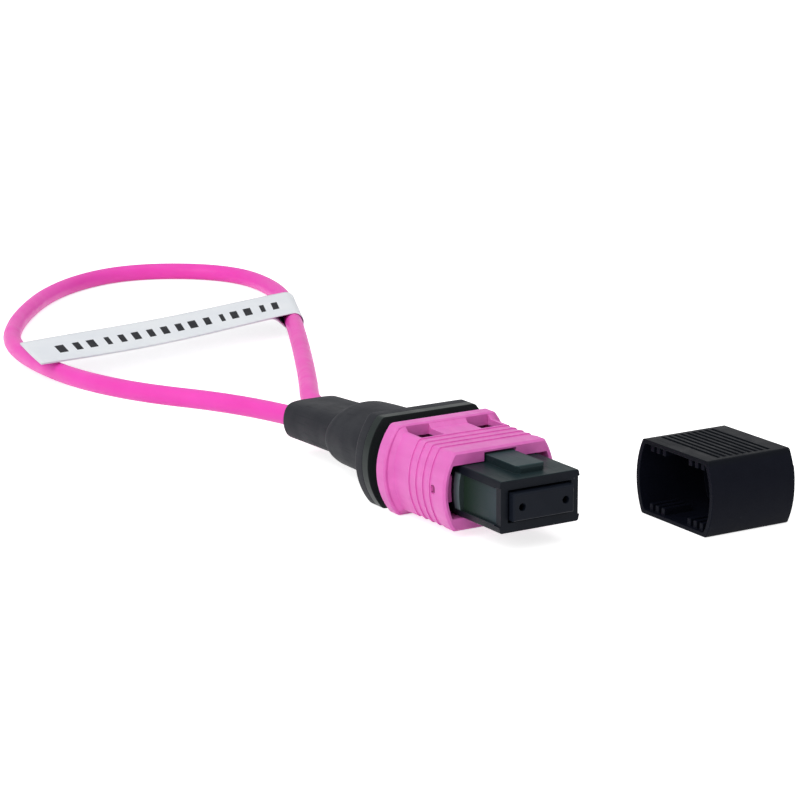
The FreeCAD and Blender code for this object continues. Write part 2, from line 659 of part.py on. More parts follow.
for window_tag, near, far in (
        ("right", "sizes.tongue_width / 2", "sizes.tongue_width / 2 + sizes.window_width"),
        ("left", "-sizes.tongue_width / 2 - sizes.window_width", "-sizes.tongue_width / 2")):
    add_rectangle(windows, window_tag, near, far, f"{BORE_HEIGHT} / 2 - 0.3", "sizes.shell_height / 2 + 1")
pocket(coupling_shell, windows, "sizes.window_length")
RELIEF_REACH = "(sizes.tongue_width / 2 + sizes.window_width + sizes.window_relief_margin)"
window_relief = cross_section(coupling_shell, "window_relief",
                              f"{X_FLANGE} + sizes.window_length + sizes.window_relief_margin")
add_rectangle(window_relief, "box", f"-{RELIEF_REACH}", RELIEF_REACH, f"{BORE_HEIGHT} / 2 - 0.3",
              f"{BORE_HEIGHT} / 2 + sizes.window_relief")
pocket(coupling_shell, window_relief,
       "sizes.window_length + sizes.window_relief_margin + sizes.window_undercut")
gate_mark = coupling_shell.newObject("Sketcher::SketchObject", "gate_mark")
gate_mark.AttachmentSupport = [(origin_feature(coupling_shell, "XZ_Plane"), "")]
gate_mark.MapMode = "FlatFace"
gate_mark.setExpression("AttachmentOffset.Base.z", "sizes.shell_width / 2 - sizes.gate_mark_depth")
gate_place = f"{X_SHELL} - sizes.gate_mark_setback"
gate_middle = Vector(size(gate_place), 0)
gate_mark.addGeometry(Part.Circle(gate_middle, Vector(0, 0, 1), size("sizes.gate_mark / 2")))
gate_mark.addConstraint(Sketcher.Constraint("PointOnObject", 0, 3, -1))
offset_dimension(gate_mark, "setback", "DistanceX", 0, 3, gate_place)
gate_radius = Sketcher.Constraint("Radius", 0, size("sizes.gate_mark / 2"))
dimension(gate_mark, "radius", gate_radius, "sizes.gate_mark / 2")
pocket(coupling_shell, gate_mark, "sizes.gate_mark_depth + 0.5", forward=True)

# Rear body: pusher and hooked arms inside the housing, a boss that the shell
# slides over, the plate that stops it, and the post for crimp and boot.
rear_body = new_body("rear_body")
boss = oval(rear_body, "boss", X_HOUSING_REAR, f"{BORE_WIDTH} - 2 * sizes.boss_gap",
            "sizes.nose_height", f"{BORE_RADIUS} - sizes.boss_gap", "sizes.nose_corner_radius")
pad(rear_body, boss, f"{X_HOUSING_REAR} - {X_PLATE_REAR}")
pad(rear_body, oval(rear_body, "plate", X_PLATE, PLATE_WIDTH, PLATE_HEIGHT,
                    "sizes.plate_side_radius", "sizes.plate_corner_radius"),
    "sizes.plate_thickness")
pad(rear_body, circle(rear_body, "post", X_PLATE_REAR, "sizes.post_diameter"), "sizes.post_length")
pad(rear_body, rectangle(rear_body, "pusher", X_HOUSING_REAR, "sizes.pusher_width",
                         f"{CAVITY_HEIGHT} - 2 * sizes.pusher_gap"),
    "sizes.pusher_length", forward=True)
ARM_OUTSIDE = f"({CAVITY_WIDTH} - 2 * sizes.pusher_gap)"
arms = side_pair(rear_body, "arms", X_HOUSING_REAR, f"{ARM_OUTSIDE} - 2 * sizes.arm_thickness", ARM_OUTSIDE,
                 "sizes.arm_height")
pad(rear_body, arms, f"{X_HOOK} - {X_HOUSING_REAR}", forward=True)
hooks = side_pair(rear_body, "hooks", X_HOOK, f"{ARM_OUTSIDE} - sizes.arm_thickness",
                  "sizes.channel_span", "sizes.arm_height")
pad(rear_body, hooks, "sizes.hook_length")
fibre_passage = circle(rear_body, "fibre_passage", X_PUSHER, "sizes.fibre_passage")
pocket(rear_body, fibre_passage, f"{X_PUSHER} - {X_POST_REAR}")

# Strength yarn laid over the post, and the metal sleeve crimped round it.
yarn_layer = new_body("yarn_layer")
pad(yarn_layer, circle(yarn_layer, "yarn_outside", X_CRIMP, CRIMP_BORE), "sizes.crimp_length")
pocket(yarn_layer, circle(yarn_layer, "yarn_inside", X_CRIMP, "sizes.post_diameter"), "sizes.crimp_length")
crimp_sleeve = new_body("crimp_sleeve")
pad(crimp_sleeve, circle(crimp_sleeve, "sleeve_outside", X_CRIMP, CRIMP_OUTSIDE), "sizes.crimp_length")
pocket(crimp_sleeve, circle(crimp_sleeve, "sleeve_inside", X_CRIMP, CRIMP_BORE), "sizes.crimp_length")

# Springs. They are modelled at rest and are squeezed as their parts move.
ferrule_spring = coil("ferrule_spring", "sizes.ferrule_spring_diameter", "sizes.ferrule_spring_wire",
                      "sizes.ferrule_spring_turns", X_KEEPER_REAR, X_PUSHER, 0.0)
channel_middle = size(f"(sizes.channel_span + {BORE_WIDTH}) / 4")
shell_springs = [
    coil("shell_spring_" + side, SHELL_SPRING_DIAMETER, "sizes.shell_spring_wire",
         "sizes.shell_spring_turns", X_LUG_REAR, X_HOUSING_REAR, sign * channel_middle)
    for side, sign in (("left", -1), ("right", 1))
]

# Boot: flange against the plate, swelling barrel, and a flat tail that parts
# the two legs of the loop.
boot_blank = new_body("boot_blank")
pad(boot_blank, oval(boot_blank, "boot_flange", X_PLATE_REAR, PLATE_WIDTH, PLATE_HEIGHT,
                     "sizes.plate_side_radius", "sizes.plate_corner_radius"),
    "sizes.boot_flange_thickness")
dress(boot_blank, "Chamfer", "flange_bevel", "sizes.boot_flange_bevel",
      lambda edge: lies_at(edge, size(X_BARREL)))


def sagging(station):
    """How far the boot's middle has sunk at a station, in even proportion to its length."""
    return f"(sizes.boot_sag * ({X_BARREL} - {station}) / ({X_BARREL} - {X_TAIL_END}))"


X_SWELL = f"({X_BARREL_REAR} + sizes.barrel_end_length)"
barrel_sections = []
for barrel_tag, barrel_station in (
        ("front", X_BARREL),
        ("middle", f"({X_BARREL} + {X_SWELL}) / 2"),
        ("swell", X_SWELL),
        ("shoulder", f"({X_BARREL_REAR} + 0.4 * sizes.barrel_end_length)"),
        ("rear", X_BARREL_REAR)):
    barrel_sections.append(ellipse(
        boot_blank, "barrel_" + barrel_tag, barrel_station, f"sizes.barrel_{barrel_tag}_width",
        f"sizes.barrel_{barrel_tag}_height", sagging(barrel_station)))
loft(boot_blank, "barrel", barrel_sections)
X_TIP = f"({X_TAIL_END} + sizes.tail_tip_length)"
tail_sections = []
for tail_tag, tail_station, tail_corner in (
        ("root", X_BARREL_REAR, "sizes.tail_corner_radius"),
        ("middle", f"({X_BARREL_REAR} + {X_TIP}) / 2", "sizes.tail_corner_radius"),
        ("end", X_TIP, "sizes.tail_corner_radius"),
        ("tip", X_TAIL_END, "sizes.tail_tip_radius")):
    tail_sections.append(oval(
        boot_blank, "tail_" + tail_tag, tail_station, f"sizes.tail_{tail_tag}_width",
        f"sizes.tail_{tail_tag}_height", "sizes.tail_side_radius", tail_corner, sagging(tail_station)))
loft(boot_blank, "tail", tail_sections)
crimp_pocket = circle(boot_blank, "crimp_pocket", X_PLATE_REAR, f"{CRIMP_OUTSIDE} + 2 * sizes.boot_bore_gap")
pocket(boot_blank, crimp_pocket, "sizes.post_length + sizes.ferrule_float")
boot_passage = circle(boot_blank, "boot_passage", X_PLATE_REAR, "sizes.fibre_passage")
pocket(boot_blank, boot_passage, f"{X_PLATE_REAR} + sizes.leg_start_setback")

# Cable: straight runs joined by arcs as large as the runs allow.
right_start, left_start = [
    Vector(size("-sizes.leg_start_setback"), size(f"{sign}sizes.leg_start_offset"),
           size("-sizes.leg_start_drop"))
    for sign in ("", "-")
]
route = [right_start, *ROUTE_MIDDLE, left_start]


def rounded_route(points):
    """The route's edges and the radii of its arcs."""
    edges, radii = [], []
    leave = points[0]
    for before, corner, after in zip(points, points[1:], points[2:]):
        arriving = (corner - before).normalize()
        leaving = (after - corner).normalize()
        trim = 0.45 * min((corner - before).Length, (after - corner).Length)
        turn = arriving.getAngle(leaving)
        radius = trim / math.tan(turn / 2)
        enter = corner - arriving * trim
        depart = corner + leaving * trim
        inward = (leaving - arriving).normalize()
        middle = corner + inward * (radius / math.cos(turn / 2) - radius)
        edges.append(Part.LineSegment(leave, enter).toShape())
        edges.append(Part.Arc(enter, middle, depart).toShape())
        radii.append(radius)
        leave = depart
    edges.append(Part.LineSegment(leave, points[-1]).toShape())
    return edges, radii


cable_edges, cable_radii = rounded_route(route)
cable_path = doc.addObject("Part::Feature", "cable_path")
cable_path.Shape = Part.Wire(cable_edges)
cable_section = doc.addObject("Part::RegularPolygon", "cable_section")
cable_section.Polygon = CABLE_SIDES
cable_section.setExpression("Circumradius", "sizes.cable_diameter / 2")
cable_section.Placement = Placement(right_start, Rotation(Vector(0, 0, 1), ROUTE_MIDDLE[0] - right_start))
cable_loop = doc.addObject("Part::Sweep", "cable_loop")
cable_loop.Sections = [cable_section]
cable_loop.Spine = (cable_path, ["Edge%d" % number for number in range(1, len(cable_edges) + 1)])
cable_loop.Solid = True
cable_loop.Frenet = False
cable_loop.Label = "cable_loop"

# The boot is moulded over the two ends of the cable.
boot = doc.addObject("Part::Cut", "boot")
boot.Base = boot_blank
boot.Tool = cable_loop
boot.Label = "boot"

# Flag label: a strip that lies across the two legs, and a wrap round the far leg.
# Both are as wide along the far leg as the label is.
far_run = ROUTE_MIDDLE[3] - ROUTE_MIDDLE[2]
near_run = ROUTE_MIDDLE[9] - ROUTE_MIDDLE[8]
label_hold = ROUTE_MIDDLE[2] + far_run * LABEL_HOLD_SHARE
far_leg = Vector(far_run).normalize()
label_lift = size("sizes.cable_diameter / 2")
label_half = size("sizes.label_width / 2")
end_middle = ROUTE_MIDDLE[8] + near_run * LABEL_END_SHARE
end_middle = end_middle + Vector(0, -size("sizes.label_overhang"), label_lift + size("sizes.label_gap"))
fold_middle = label_hold + Vector(0, 0, label_lift)
label_up = far_leg.cross(fold_middle - end_middle).normalize()
if label_up.z < 0:
    label_up = label_up * -1
end_edge = Rotation(label_up, LABEL_END_TURN).multVec(far_leg)
strip_outline = doc.addObject("Part::Polygon", "label_outline")
strip_outline.Nodes = [
    fold_middle + far_leg * label_half,
    fold_middle - far_leg * label_half,
    end_middle - end_edge * label_half,
    end_middle + end_edge * label_half,
]
strip_outline.Close = True
strip = doc.addObject("Part::Extrusion", "label_strip")
strip.Base = strip_outline
strip.DirMode = "Custom"
strip.Dir = label_up
strip.Solid = True
strip.setExpression("LengthFwd", "sizes.label_thickness")
wrap = doc.addObject("Part::Cylinder", "label_wrap")
wrap.setExpression("Radius", "sizes.cable_diameter / 2 + sizes.label_thickness")
wrap.setExpression("Height", "sizes.label_width")
wrap.Placement = Placement(label_hold - far_leg * label_half, Rotation(Vector(0, 0, 1), far_leg))
label_blank = doc.addObject("Part::Fuse", "label_blank")
label_blank.Base = strip
label_blank.Tool = wrap
flag_label = doc.addObject("Part::Cut", "flag_label")
flag_label.Base = label_blank
flag_label.Tool = cable_loop
flag_label.Label = "flag_label"

# Dust cap, modelled with its mouth at the origin facing +X, then laid on the
# table beside the plug with its mouth towards -Y.
dust_cap = new_body("dust_cap")
pad(dust_cap, oval(dust_cap, "cap_outside", "0", "sizes.cap_width", CAP_HEIGHT, "sizes.cap_side_radius",
                   "sizes.cap_corner_radius"),
    "sizes.cap_length")
pad(dust_cap, oval(dust_cap, "cap_stub", "-sizes.cap_length", "sizes.cap_stub_width", "sizes.cap_stub_height",
                   "sizes.cap_side_radius", "sizes.cap_stub_corner"),
    "sizes.cap_stub_length")
dress(dust_cap, "Chamfer", "cap_stub_bevel", "sizes.cap_stub_bevel",
      lambda edge: lies_at(edge, size("-sizes.cap_length - sizes.cap_stub_length")))
cap_cavity = oval(dust_cap, "cap_cavity", "0", "sizes.cap_width - 2 * sizes.cap_side_wall", CAP_CAVITY_HEIGHT,
                  "sizes.cap_side_radius - sizes.cap_side_wall", "sizes.cap_corner_radius")
pocket(dust_cap, cap_cavity, CAP_DEPTH)
RIB_TIP = "(sizes.nose_height / 2 + sizes.shell_slide_gap)"
RIB_ROOT = f"({CAP_CAVITY_HEIGHT} / 2 + sizes.cap_wall / 2)"
cap_ribs = cross_section(dust_cap, "cap_ribs", "-sizes.cap_rib_setback")
for rib_row, (rib_low, rib_high) in enumerate(((RIB_TIP, RIB_ROOT), (f"-{RIB_ROOT}", f"-{RIB_TIP}"))):
    for rib_number in range(3):
        inner = f"sizes.cap_rib_inset - {rib_number} * sizes.cap_rib_pitch"
        outer = f"{inner} + sizes.cap_rib_width"
        add_rectangle(cap_ribs, "right%d%d" % (rib_row, rib_number), inner, outer, rib_low, rib_high)
        add_rectangle(cap_ribs, "left%d%d" % (rib_row, rib_number), f"-({outer})", f"-({inner})",
                      rib_low, rib_high)
pad(dust_cap, cap_ribs, "sizes.cap_rib_length")
cap_groove = cross_section(dust_cap, "cap_groove", "-sizes.cap_groove_setback")
add_rectangle(cap_groove, "box", "-sizes.cap_groove_span / 2", "sizes.cap_groove_span / 2",
              f"{CAP_HEIGHT} / 2 - sizes.cap_groove_depth", f"{CAP_HEIGHT} / 2 + sizes.cap_groove_depth")
cap_groove_cut = pocket(dust_cap, cap_groove, "sizes.cap_groove_width")
cap_grip = dust_cap.newObject("PartDesign::LinearPattern", "cap_grip")
cap_grip.Originals = [cap_groove_cut]
cap_grip.Direction = (origin_feature(dust_cap, "X_Axis"), [""])
cap_grip.Reversed = True
cap_grip.setExpression("Length", "(sizes.cap_groove_count - 1) * sizes.cap_groove_pitch")
cap_grip.setExpression("Occurrences", "sizes.cap_groove_count")
dust_cap.Tip = cap_grip
dust_cap.setExpression("Placement.Base.x", "sizes.cap_place_x")
dust_cap.setExpression("Placement.Base.y", "sizes.cap_place_y")
dust_cap.setExpression("Placement.Base.z", f"{CAP_HEIGHT} / 2 - {PLATE_HEIGHT} / 2")
dust_cap.Placement.Rotation = Rotation(Vector(0, 0, 1), -90)

rebuild()

PIECES = [
    ferrule, ferrule_boot, pin_keeper, fibre_bundle, inner_housing, coupling_shell, rear_body, yarn_layer,
    crimp_sleeve, ferrule_spring, *shell_springs, boot, cable_loop, flag_label, dust_cap,
]

for piece in PIECES:
    if piece.Shape.isNull() or not piece.Shape.isValid() or len(piece.Shape.Solids) != 1:
        raise RuntimeError("%s is not one valid solid" % piece.Label)

section = CABLE_SIDES * size("sizes.cable_diameter") ** 2 / 8 * math.sin(2 * math.pi / CABLE_SIDES)
print("cable radii", [round(radius, 1) for radius in cable_radii])
print("cable length %.1f" % cable_path.Shape.Length)
swept = section * cable_path.Shape.Length
print("cable volume over section times length %.4f" % (cable_loop.Shape.Volume / swept))

os.makedirs("parts", exist_ok=True)
for piece in PIECES:
    piece.Shape.exportStep(os.path.join("parts", piece.Label + ".step"))
    box = piece.Shape.BoundBox
    print("%-20s volume %9.3f  x %8.2f %8.2f  y %7.2f %7.2f  z %6.2f %6.2f" % (
        piece.Label, piece.Shape.Volume, box.XMin, box.XMax, box.YMin, box.YMax, box.ZMin, box.ZMax))
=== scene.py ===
# %% [markdown]
# # A fibre loopback plug
# The object is a small multi-fibre plug whose cable runs out of a rubber boot,
# round in a loop and back into the same boot. A test set that sends light into
# one fibre gets it back from another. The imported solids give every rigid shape
# and its place, so this lesson starts from them and adds what makes them look
# real: rounded edges, soft pieces, finishes and light.

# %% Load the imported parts
import math

import bmesh
import bpy
import numpy as np
from mathutils import Matrix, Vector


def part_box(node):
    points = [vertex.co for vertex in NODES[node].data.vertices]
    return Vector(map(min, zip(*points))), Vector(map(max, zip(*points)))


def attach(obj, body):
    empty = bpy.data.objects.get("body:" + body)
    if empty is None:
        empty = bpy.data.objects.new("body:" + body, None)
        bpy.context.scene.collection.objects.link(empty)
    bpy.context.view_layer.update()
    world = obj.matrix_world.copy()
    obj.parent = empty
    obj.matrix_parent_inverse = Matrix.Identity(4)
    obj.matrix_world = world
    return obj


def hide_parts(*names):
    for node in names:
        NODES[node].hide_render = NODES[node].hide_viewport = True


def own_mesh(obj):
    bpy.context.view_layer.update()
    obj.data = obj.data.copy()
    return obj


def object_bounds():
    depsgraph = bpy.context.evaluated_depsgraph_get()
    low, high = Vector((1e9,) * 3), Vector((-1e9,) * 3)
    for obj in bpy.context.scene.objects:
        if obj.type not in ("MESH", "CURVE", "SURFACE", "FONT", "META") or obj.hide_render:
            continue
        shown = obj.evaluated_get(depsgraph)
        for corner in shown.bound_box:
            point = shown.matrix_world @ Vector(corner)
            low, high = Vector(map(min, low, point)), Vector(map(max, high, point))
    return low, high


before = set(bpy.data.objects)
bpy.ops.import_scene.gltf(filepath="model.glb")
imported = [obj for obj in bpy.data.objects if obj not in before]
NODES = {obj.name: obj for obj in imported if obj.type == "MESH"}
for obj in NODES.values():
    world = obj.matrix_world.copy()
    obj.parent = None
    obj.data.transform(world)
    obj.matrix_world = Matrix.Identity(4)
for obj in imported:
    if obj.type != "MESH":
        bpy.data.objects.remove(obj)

MM = 0.001
CAD_BOX = [list(corner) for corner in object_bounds()]
FLOOR = CAD_BOX[0][2]
scene = bpy.context.scene


def mm(*sizes):
    """Millimetres as metres."""
    return tuple(size * MM for size in sizes)


print("parts:", len(NODES), "floor at", round(FLOOR / MM, 2), "mm")

# %% [markdown]
# ## The camera
# The picture was taken with a long lens from the plug's front left, a little
# above the table. Two angles and one position describe that view. Writing the
# camera's axes as vectors, and not as three Euler angles, keeps the horizon
# level and makes the upward direction easy to reuse.

# %% Camera
TURN = math.radians(31.74)
RISE = math.radians(14.0)
EYE = np.array(mm(208.29, -143.71, 72.35))

rightward = np.array([math.sin(TURN), math.cos(TURN), 0.0])
inward = np.array([-math.cos(TURN), math.sin(TURN), 0.0])
upright = np.array([0.0, 0.0, 1.0])
sight = inward * math.cos(RISE) - upright * math.sin(RISE)
above = upright * math.cos(RISE) + inward * math.sin(RISE)

lens = bpy.data.cameras.new("photo_lens")
lens.sensor_width = 36.0
lens.lens = 135.0
lens.clip_start = 0.01
lens.clip_end = 20.0
camera = bpy.data.objects.new("photo_camera", lens)
axes = np.eye(4)
axes[:3, :4] = np.column_stack([rightward, above, -sight, EYE])
camera.matrix_world = Matrix(axes.tolist())
scene.collection.objects.link(camera)
scene.camera = camera
scene.view_settings.view_transform = "Standard"
print("camera", round(float(np.linalg.norm(EYE)) / MM), "mm from the ferrule's face")

# %% [markdown]
# ## Putting arrays into meshes
# Every new piece below is a grid of points: one parameter runs along the piece
# and the other round it or across it. This helper turns such a grid into faces.
# Whole index arrays are shifted against each other, so no loop visits a vertex.

# %% Grid helpers


def grid_faces(rows, columns, closed):
    """Quads of a rows by columns grid; closed joins the last column to the first."""
    index = np.arange(rows * columns).reshape(rows, columns)
    beside = np.roll(index, -1, axis=1)
    if not closed:
        index, beside = index[:, :-1], beside[:, :-1]
    quads = np.stack([index[:-1], beside[:-1], beside[1:], index[1:]], axis=-1)
    return quads.reshape(-1, 4)


def grid_piece(name, points, closed=True, caps=False):
    """A mesh object from points[row, column, xyz]; caps close the first and last rings."""
    rows, columns = points.shape[:2]
    faces = grid_faces(rows, columns, closed).tolist()
    if caps:
        first = np.arange(columns)
        last = first + (rows - 1) * columns
        faces += [first[::-1].tolist(), last.tolist()]
    mesh = bpy.data.meshes.new(name)
    mesh.from_pydata(points.reshape(-1, 3).tolist(), [], faces)
    mesh.polygons.foreach_set("use_smooth", np.ones(len(faces), bool))
    mesh.update()
    piece = bpy.data.objects.new(name, mesh)
    scene.collection.objects.link(piece)
    return piece


def unit(vector):
    """The vector at length one."""
    return vector / np.linalg.norm(vector)


print("grid of 3 by 4 points, closed:", len(grid_faces(3, 4, True)), "faces")

# %% [markdown]
# ## The loop of cable
# The cable is a stiff two-millimetre cord: it leaves the boot as one leg, sags
# until it lies on the table, turns round and comes back as the other leg. One
# smooth spline over the route's control points bends the way a real cord does,
# with no corners and no sudden change of direction. A curve object with a round
# bevel keeps it editable.

# %% Cable
ROUTE = np.array([
    (-34.4, 1.15, -0.66), (-42.8, 1.15, -0.99), (-57.2, 9.15, -1.46), (-85.2, 23.55, -2.58),
    (-104.8, 32.85, -3.35), (-118.0, 33.0, -3.35), (-125.3, 22.1, -3.35), (-120.3, 9.9, -3.35),
    (-106.3, -1.9, -3.35), (-90.1, -10.1, -2.79), (-65.7, -11.5, -1.78), (-46.2, -1.15, -1.09),
    (-34.4, -1.15, -0.66),
]) * MM
CABLE_RADIUS = 1.0 * MM


def cable_curve(name, bevel):
    """A curve object of one clamped quadratic spline over the route's points.

    Each point's radius is the cable's, so a bevel of one gives the jacket its true size.
    """
    curve = bpy.data.curves.new(name, "CURVE")
    curve.dimensions = "3D"
    curve.resolution_u = 24
    curve.bevel_depth = bevel
    curve.bevel_resolution = 8
    line = curve.splines.new("NURBS")
    line.points.add(len(ROUTE) - 1)
    line.points.foreach_set("co", np.column_stack([ROUTE, np.ones(len(ROUTE))]).ravel())
    line.points.foreach_set("radius", np.full(len(ROUTE), CABLE_RADIUS))
    line.order_u = 3
    line.use_endpoint_u = True
    line.use_smooth = True
    piece = bpy.data.objects.new(name, curve)
    scene.collection.objects.link(piece)
    return piece


def spline_points(piece):
    """The points of a curve with no bevel, read from its evaluated mesh."""
    bpy.context.view_layer.update()
    shape = piece.evaluated_get(bpy.context.evaluated_depsgraph_get())
    mesh = bpy.data.meshes.new_from_object(shape)
    points = np.empty(len(mesh.vertices) * 3)
    mesh.vertices.foreach_get("co", points)
    bpy.data.meshes.remove(mesh)
    return points.reshape(-1, 3)


guide = cable_curve("cable_guide", 0.0)
steps = np.diff(spline_points(guide), axis=0)
bpy.data.objects.remove(guide)
cable = cable_curve("cable", 1.0)
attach(cable, "frame")
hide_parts("cable_loop")

# %% [markdown]
# ## The flag label
# A strip of white film is folded round the far leg and its two halves are stuck
# together, so that it stands out as a flag whose free end lies on the near leg.
# A flat plate would look like a cut tile, so the whole strip is one sheet that
# is followed from its free end along the upper half, round the leg, and back
# along the lower half. First come the places and directions that it needs.

# %% Label places
LABEL_WIDTH = 14.0 * MM
FOLD_RADIUS = 1.06 * MM
HOLD_SHARE, END_SHARE = 0.3265, 0.377
END_OFFSET = np.array(mm(0.0, -1.07, 1.16))

far_leg = unit(ROUTE[4] - ROUTE[3])
label_hold = ROUTE[3] + HOLD_SHARE * (ROUTE[4] - ROUTE[3])
label_end = ROUTE[9] + END_SHARE * (ROUTE[10] - ROUTE[9]) + END_OFFSET
label_along = unit(label_end - label_hold - FOLD_RADIUS * upright)
label_up = np.cross(far_leg, label_along)
label_up = unit(label_up * np.sign(label_up[2]))
fold_top = label_hold + FOLD_RADIUS * label_up
label_run = float(np.linalg.norm(label_end - fold_top))
fold_side = np.cross(far_leg, label_up)
fold_side = fold_side * np.sign(fold_side @ label_along)
print("label", round(label_run / MM, 1), "mm from fold to free end")

# %% [markdown]
# The sheet's middle line has three stretches: straight in, half a turn round the
# leg, and out again a tenth of a millimetre lower. Across it, the width follows
# the leg at the fold and turns ten degrees on the way to the free end. A slow
# sag between the legs and a lifted corner are what thin film does by itself.

# %% Label sheet
LABEL_TURN = math.radians(10.0)
SAG, CORNER_LIFT = mm(0.25, 0.35)
FILM_GAP, RISE_RUN = mm(0.1, 4.0)


def label_middle(straight, turn):
    """Middle line, share of the run from the fold, and rows that carry print.

    Upper half: fold top + along * s. Fold: hold + radius * (cos a * side + sin a * up).
    Lower half: like the upper one, but rising from under the leg over a short run.
    """
    share = np.linspace(1.0, 0.0, straight)
    angle = np.linspace(0.5, 1.5, turn)[1:-1] * math.pi
    sag = -SAG * np.sin(math.pi * share) ** 2
    upper = fold_top + np.outer(share * label_run, label_along) + np.outer(sag, label_up)
    bend = np.outer(np.cos(angle), fold_side) + np.outer(np.sin(angle), label_up)
    rise = np.clip(share[::-1] * label_run / RISE_RUN, 0.0, 1.0)
    rise = rise * rise * (3 - 2 * rise)
    depth = (rise - 1) * (2 * FOLD_RADIUS - FILM_GAP) - FILM_GAP
    lower = upper[::-1] + np.outer(depth, label_up)
    shares = np.concatenate([share, np.zeros(turn - 2), share[::-1]])
    printed = np.concatenate([share, np.full(turn - 2 + straight, -1.0)])
    return np.concatenate([upper, label_hold + FOLD_RADIUS * bend, lower]), shares, printed


def label_sheet(columns):
    """Middle line + width * v * (leg turned by an angle * share) + a lifted far corner."""
    middle, share, printed = label_middle(straight=90, turn=26)
    v = np.linspace(-0.5, 0.5, columns)
    turn = LABEL_TURN * share[:, None]
    across = np.cos(turn) * far_leg + np.sin(turn) * np.cross(label_up, far_leg)
    lift = CORNER_LIFT * share[:, None] ** 6 * (0.5 - v[None, :]) ** 2
    points = middle[:, None] + LABEL_WIDTH * v[None, :, None] * across[:, None]
    points = points + lift[..., None] * label_up
    place = np.stack(np.broadcast_arrays(printed[:, None], v[None, :] + 0.5), axis=-1)
    return points, place


sheet_points, sheet_place = label_sheet(columns=21)
label = grid_piece("label", sheet_points, closed=False)
corner = np.empty(len(label.data.loops), int)
label.data.loops.foreach_get("vertex_index", corner)
label_uv = label.data.uv_layers.new(name="label_place")
label_uv.data.foreach_set("uv", sheet_place.reshape(-1, 2)[corner].ravel())
film = label.modifiers.new("film", "SOLIDIFY")
film.thickness = 0.08 * MM
film.offset = 0.0
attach(label, "frame")
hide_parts("flag_label")
print("label", len(label.data.polygons), "faces")

# %% [markdown]
# The cable and the label that hangs on it both ride on the frame.

print("cable and label on the frame")

# %% [markdown]
# ## The rubber boot
# The boot is one soft moulding: a flange that follows the plug's rear plate, a
# swollen barrel, a clear step, and a flat tail from which both legs come out.
# Its sections change from a bowed rectangle to an ellipse and back, so each ring
# is written as a distance from the centre for every angle. Two such distances
# can be mixed, which gives smooth changes from one section to the next.

# %% Boot sections
LEAST_REACH, LEAST_SINE = 0.01, 1e-6


def ellipse_reach(angle, width, height):
    """1 / r**2 = (cos a / half width)**2 + (sin a / half height)**2."""
    return 1 / np.sqrt((2 * np.cos(angle) / width) ** 2 + (2 * np.sin(angle) / height) ** 2)


def oval_reach(angle, width, height, side_radius, sharpness):
    """Bowed sides and flat top and bottom, joined by r**-p = side**-p + flat**-p.

    The least values keep the root and the divisions defined at every angle.
    """
    centre = width / 2 - side_radius
    bow = np.sqrt(np.maximum(side_radius ** 2 - (centre * np.sin(angle)) ** 2, 0.0))
    side = np.maximum(centre * np.abs(np.cos(angle)) + bow, LEAST_REACH)
    flat = height / 2 / np.maximum(np.abs(np.sin(angle)), LEAST_SINE)
    return (side ** -sharpness + flat ** -sharpness) ** (-1 / sharpness)


print("ellipse 4 by 2, reach along its width:", ellipse_reach(0.0, 4.0, 2.0))

# %% [markdown]
# Along the axis the boot is a chain of stretches between stations, each with its
# x, width and height. A rounded edge is a quarter of an ellipse, and the barrel
# bulges along a parabola through three of its sections.

# %% Boot rings
STATIONS = {
    "front face": (-19.85, 13.2, 8.5), "flange front": (-19.95, 13.4, 8.7),
    "flange rear": (-20.85, 13.4, 8.7), "flange back": (-21.45, 12.2, 7.5),
    "barrel front": (-21.95, 9.6, 6.35), "barrel rear": (-29.6, 8.9, 6.55),
    "barrel end": (-31.0, 7.9, 5.25), "step edge": (-31.05, 7.9, 5.25),
    "step foot": (-31.05, 7.3, 4.3), "tail foot": (-31.3, 7.2, 4.2),
    "tail front": (-31.35, 7.2, 4.2), "tail rear": (-40.0, 6.9, 3.9),
    "end edge": (-40.05, 6.9, 3.9), "end face": (-40.65, 5.9, 2.9),
    "end middle": (-40.65, 0.1, 0.05),
}
BARREL_X, BARREL_WIDTHS, BARREL_HEIGHTS = (-22.0, -25.4, -29.6), (9.6, 9.5, 8.9), (6.35, 6.65, 6.55)


def rings(x, width, height, ellipse, tail):
    """Rows of x, width, height, share of ellipse and share of tail, in millimetres."""
    return np.column_stack(np.broadcast_arrays(x, width, height, ellipse, tail))


def stretch(first, last, along, across, ellipse, tail):
    """Rings between two stations: x = x0 + (x1 - x0) * along, sizes alike by across."""
    x, width, height = (np.interp(law, (0, 1), pair) for law, pair in zip(
        (along, across, across), zip(STATIONS[first], STATIONS[last])))
    return rings(x, width, height, ellipse, tail)


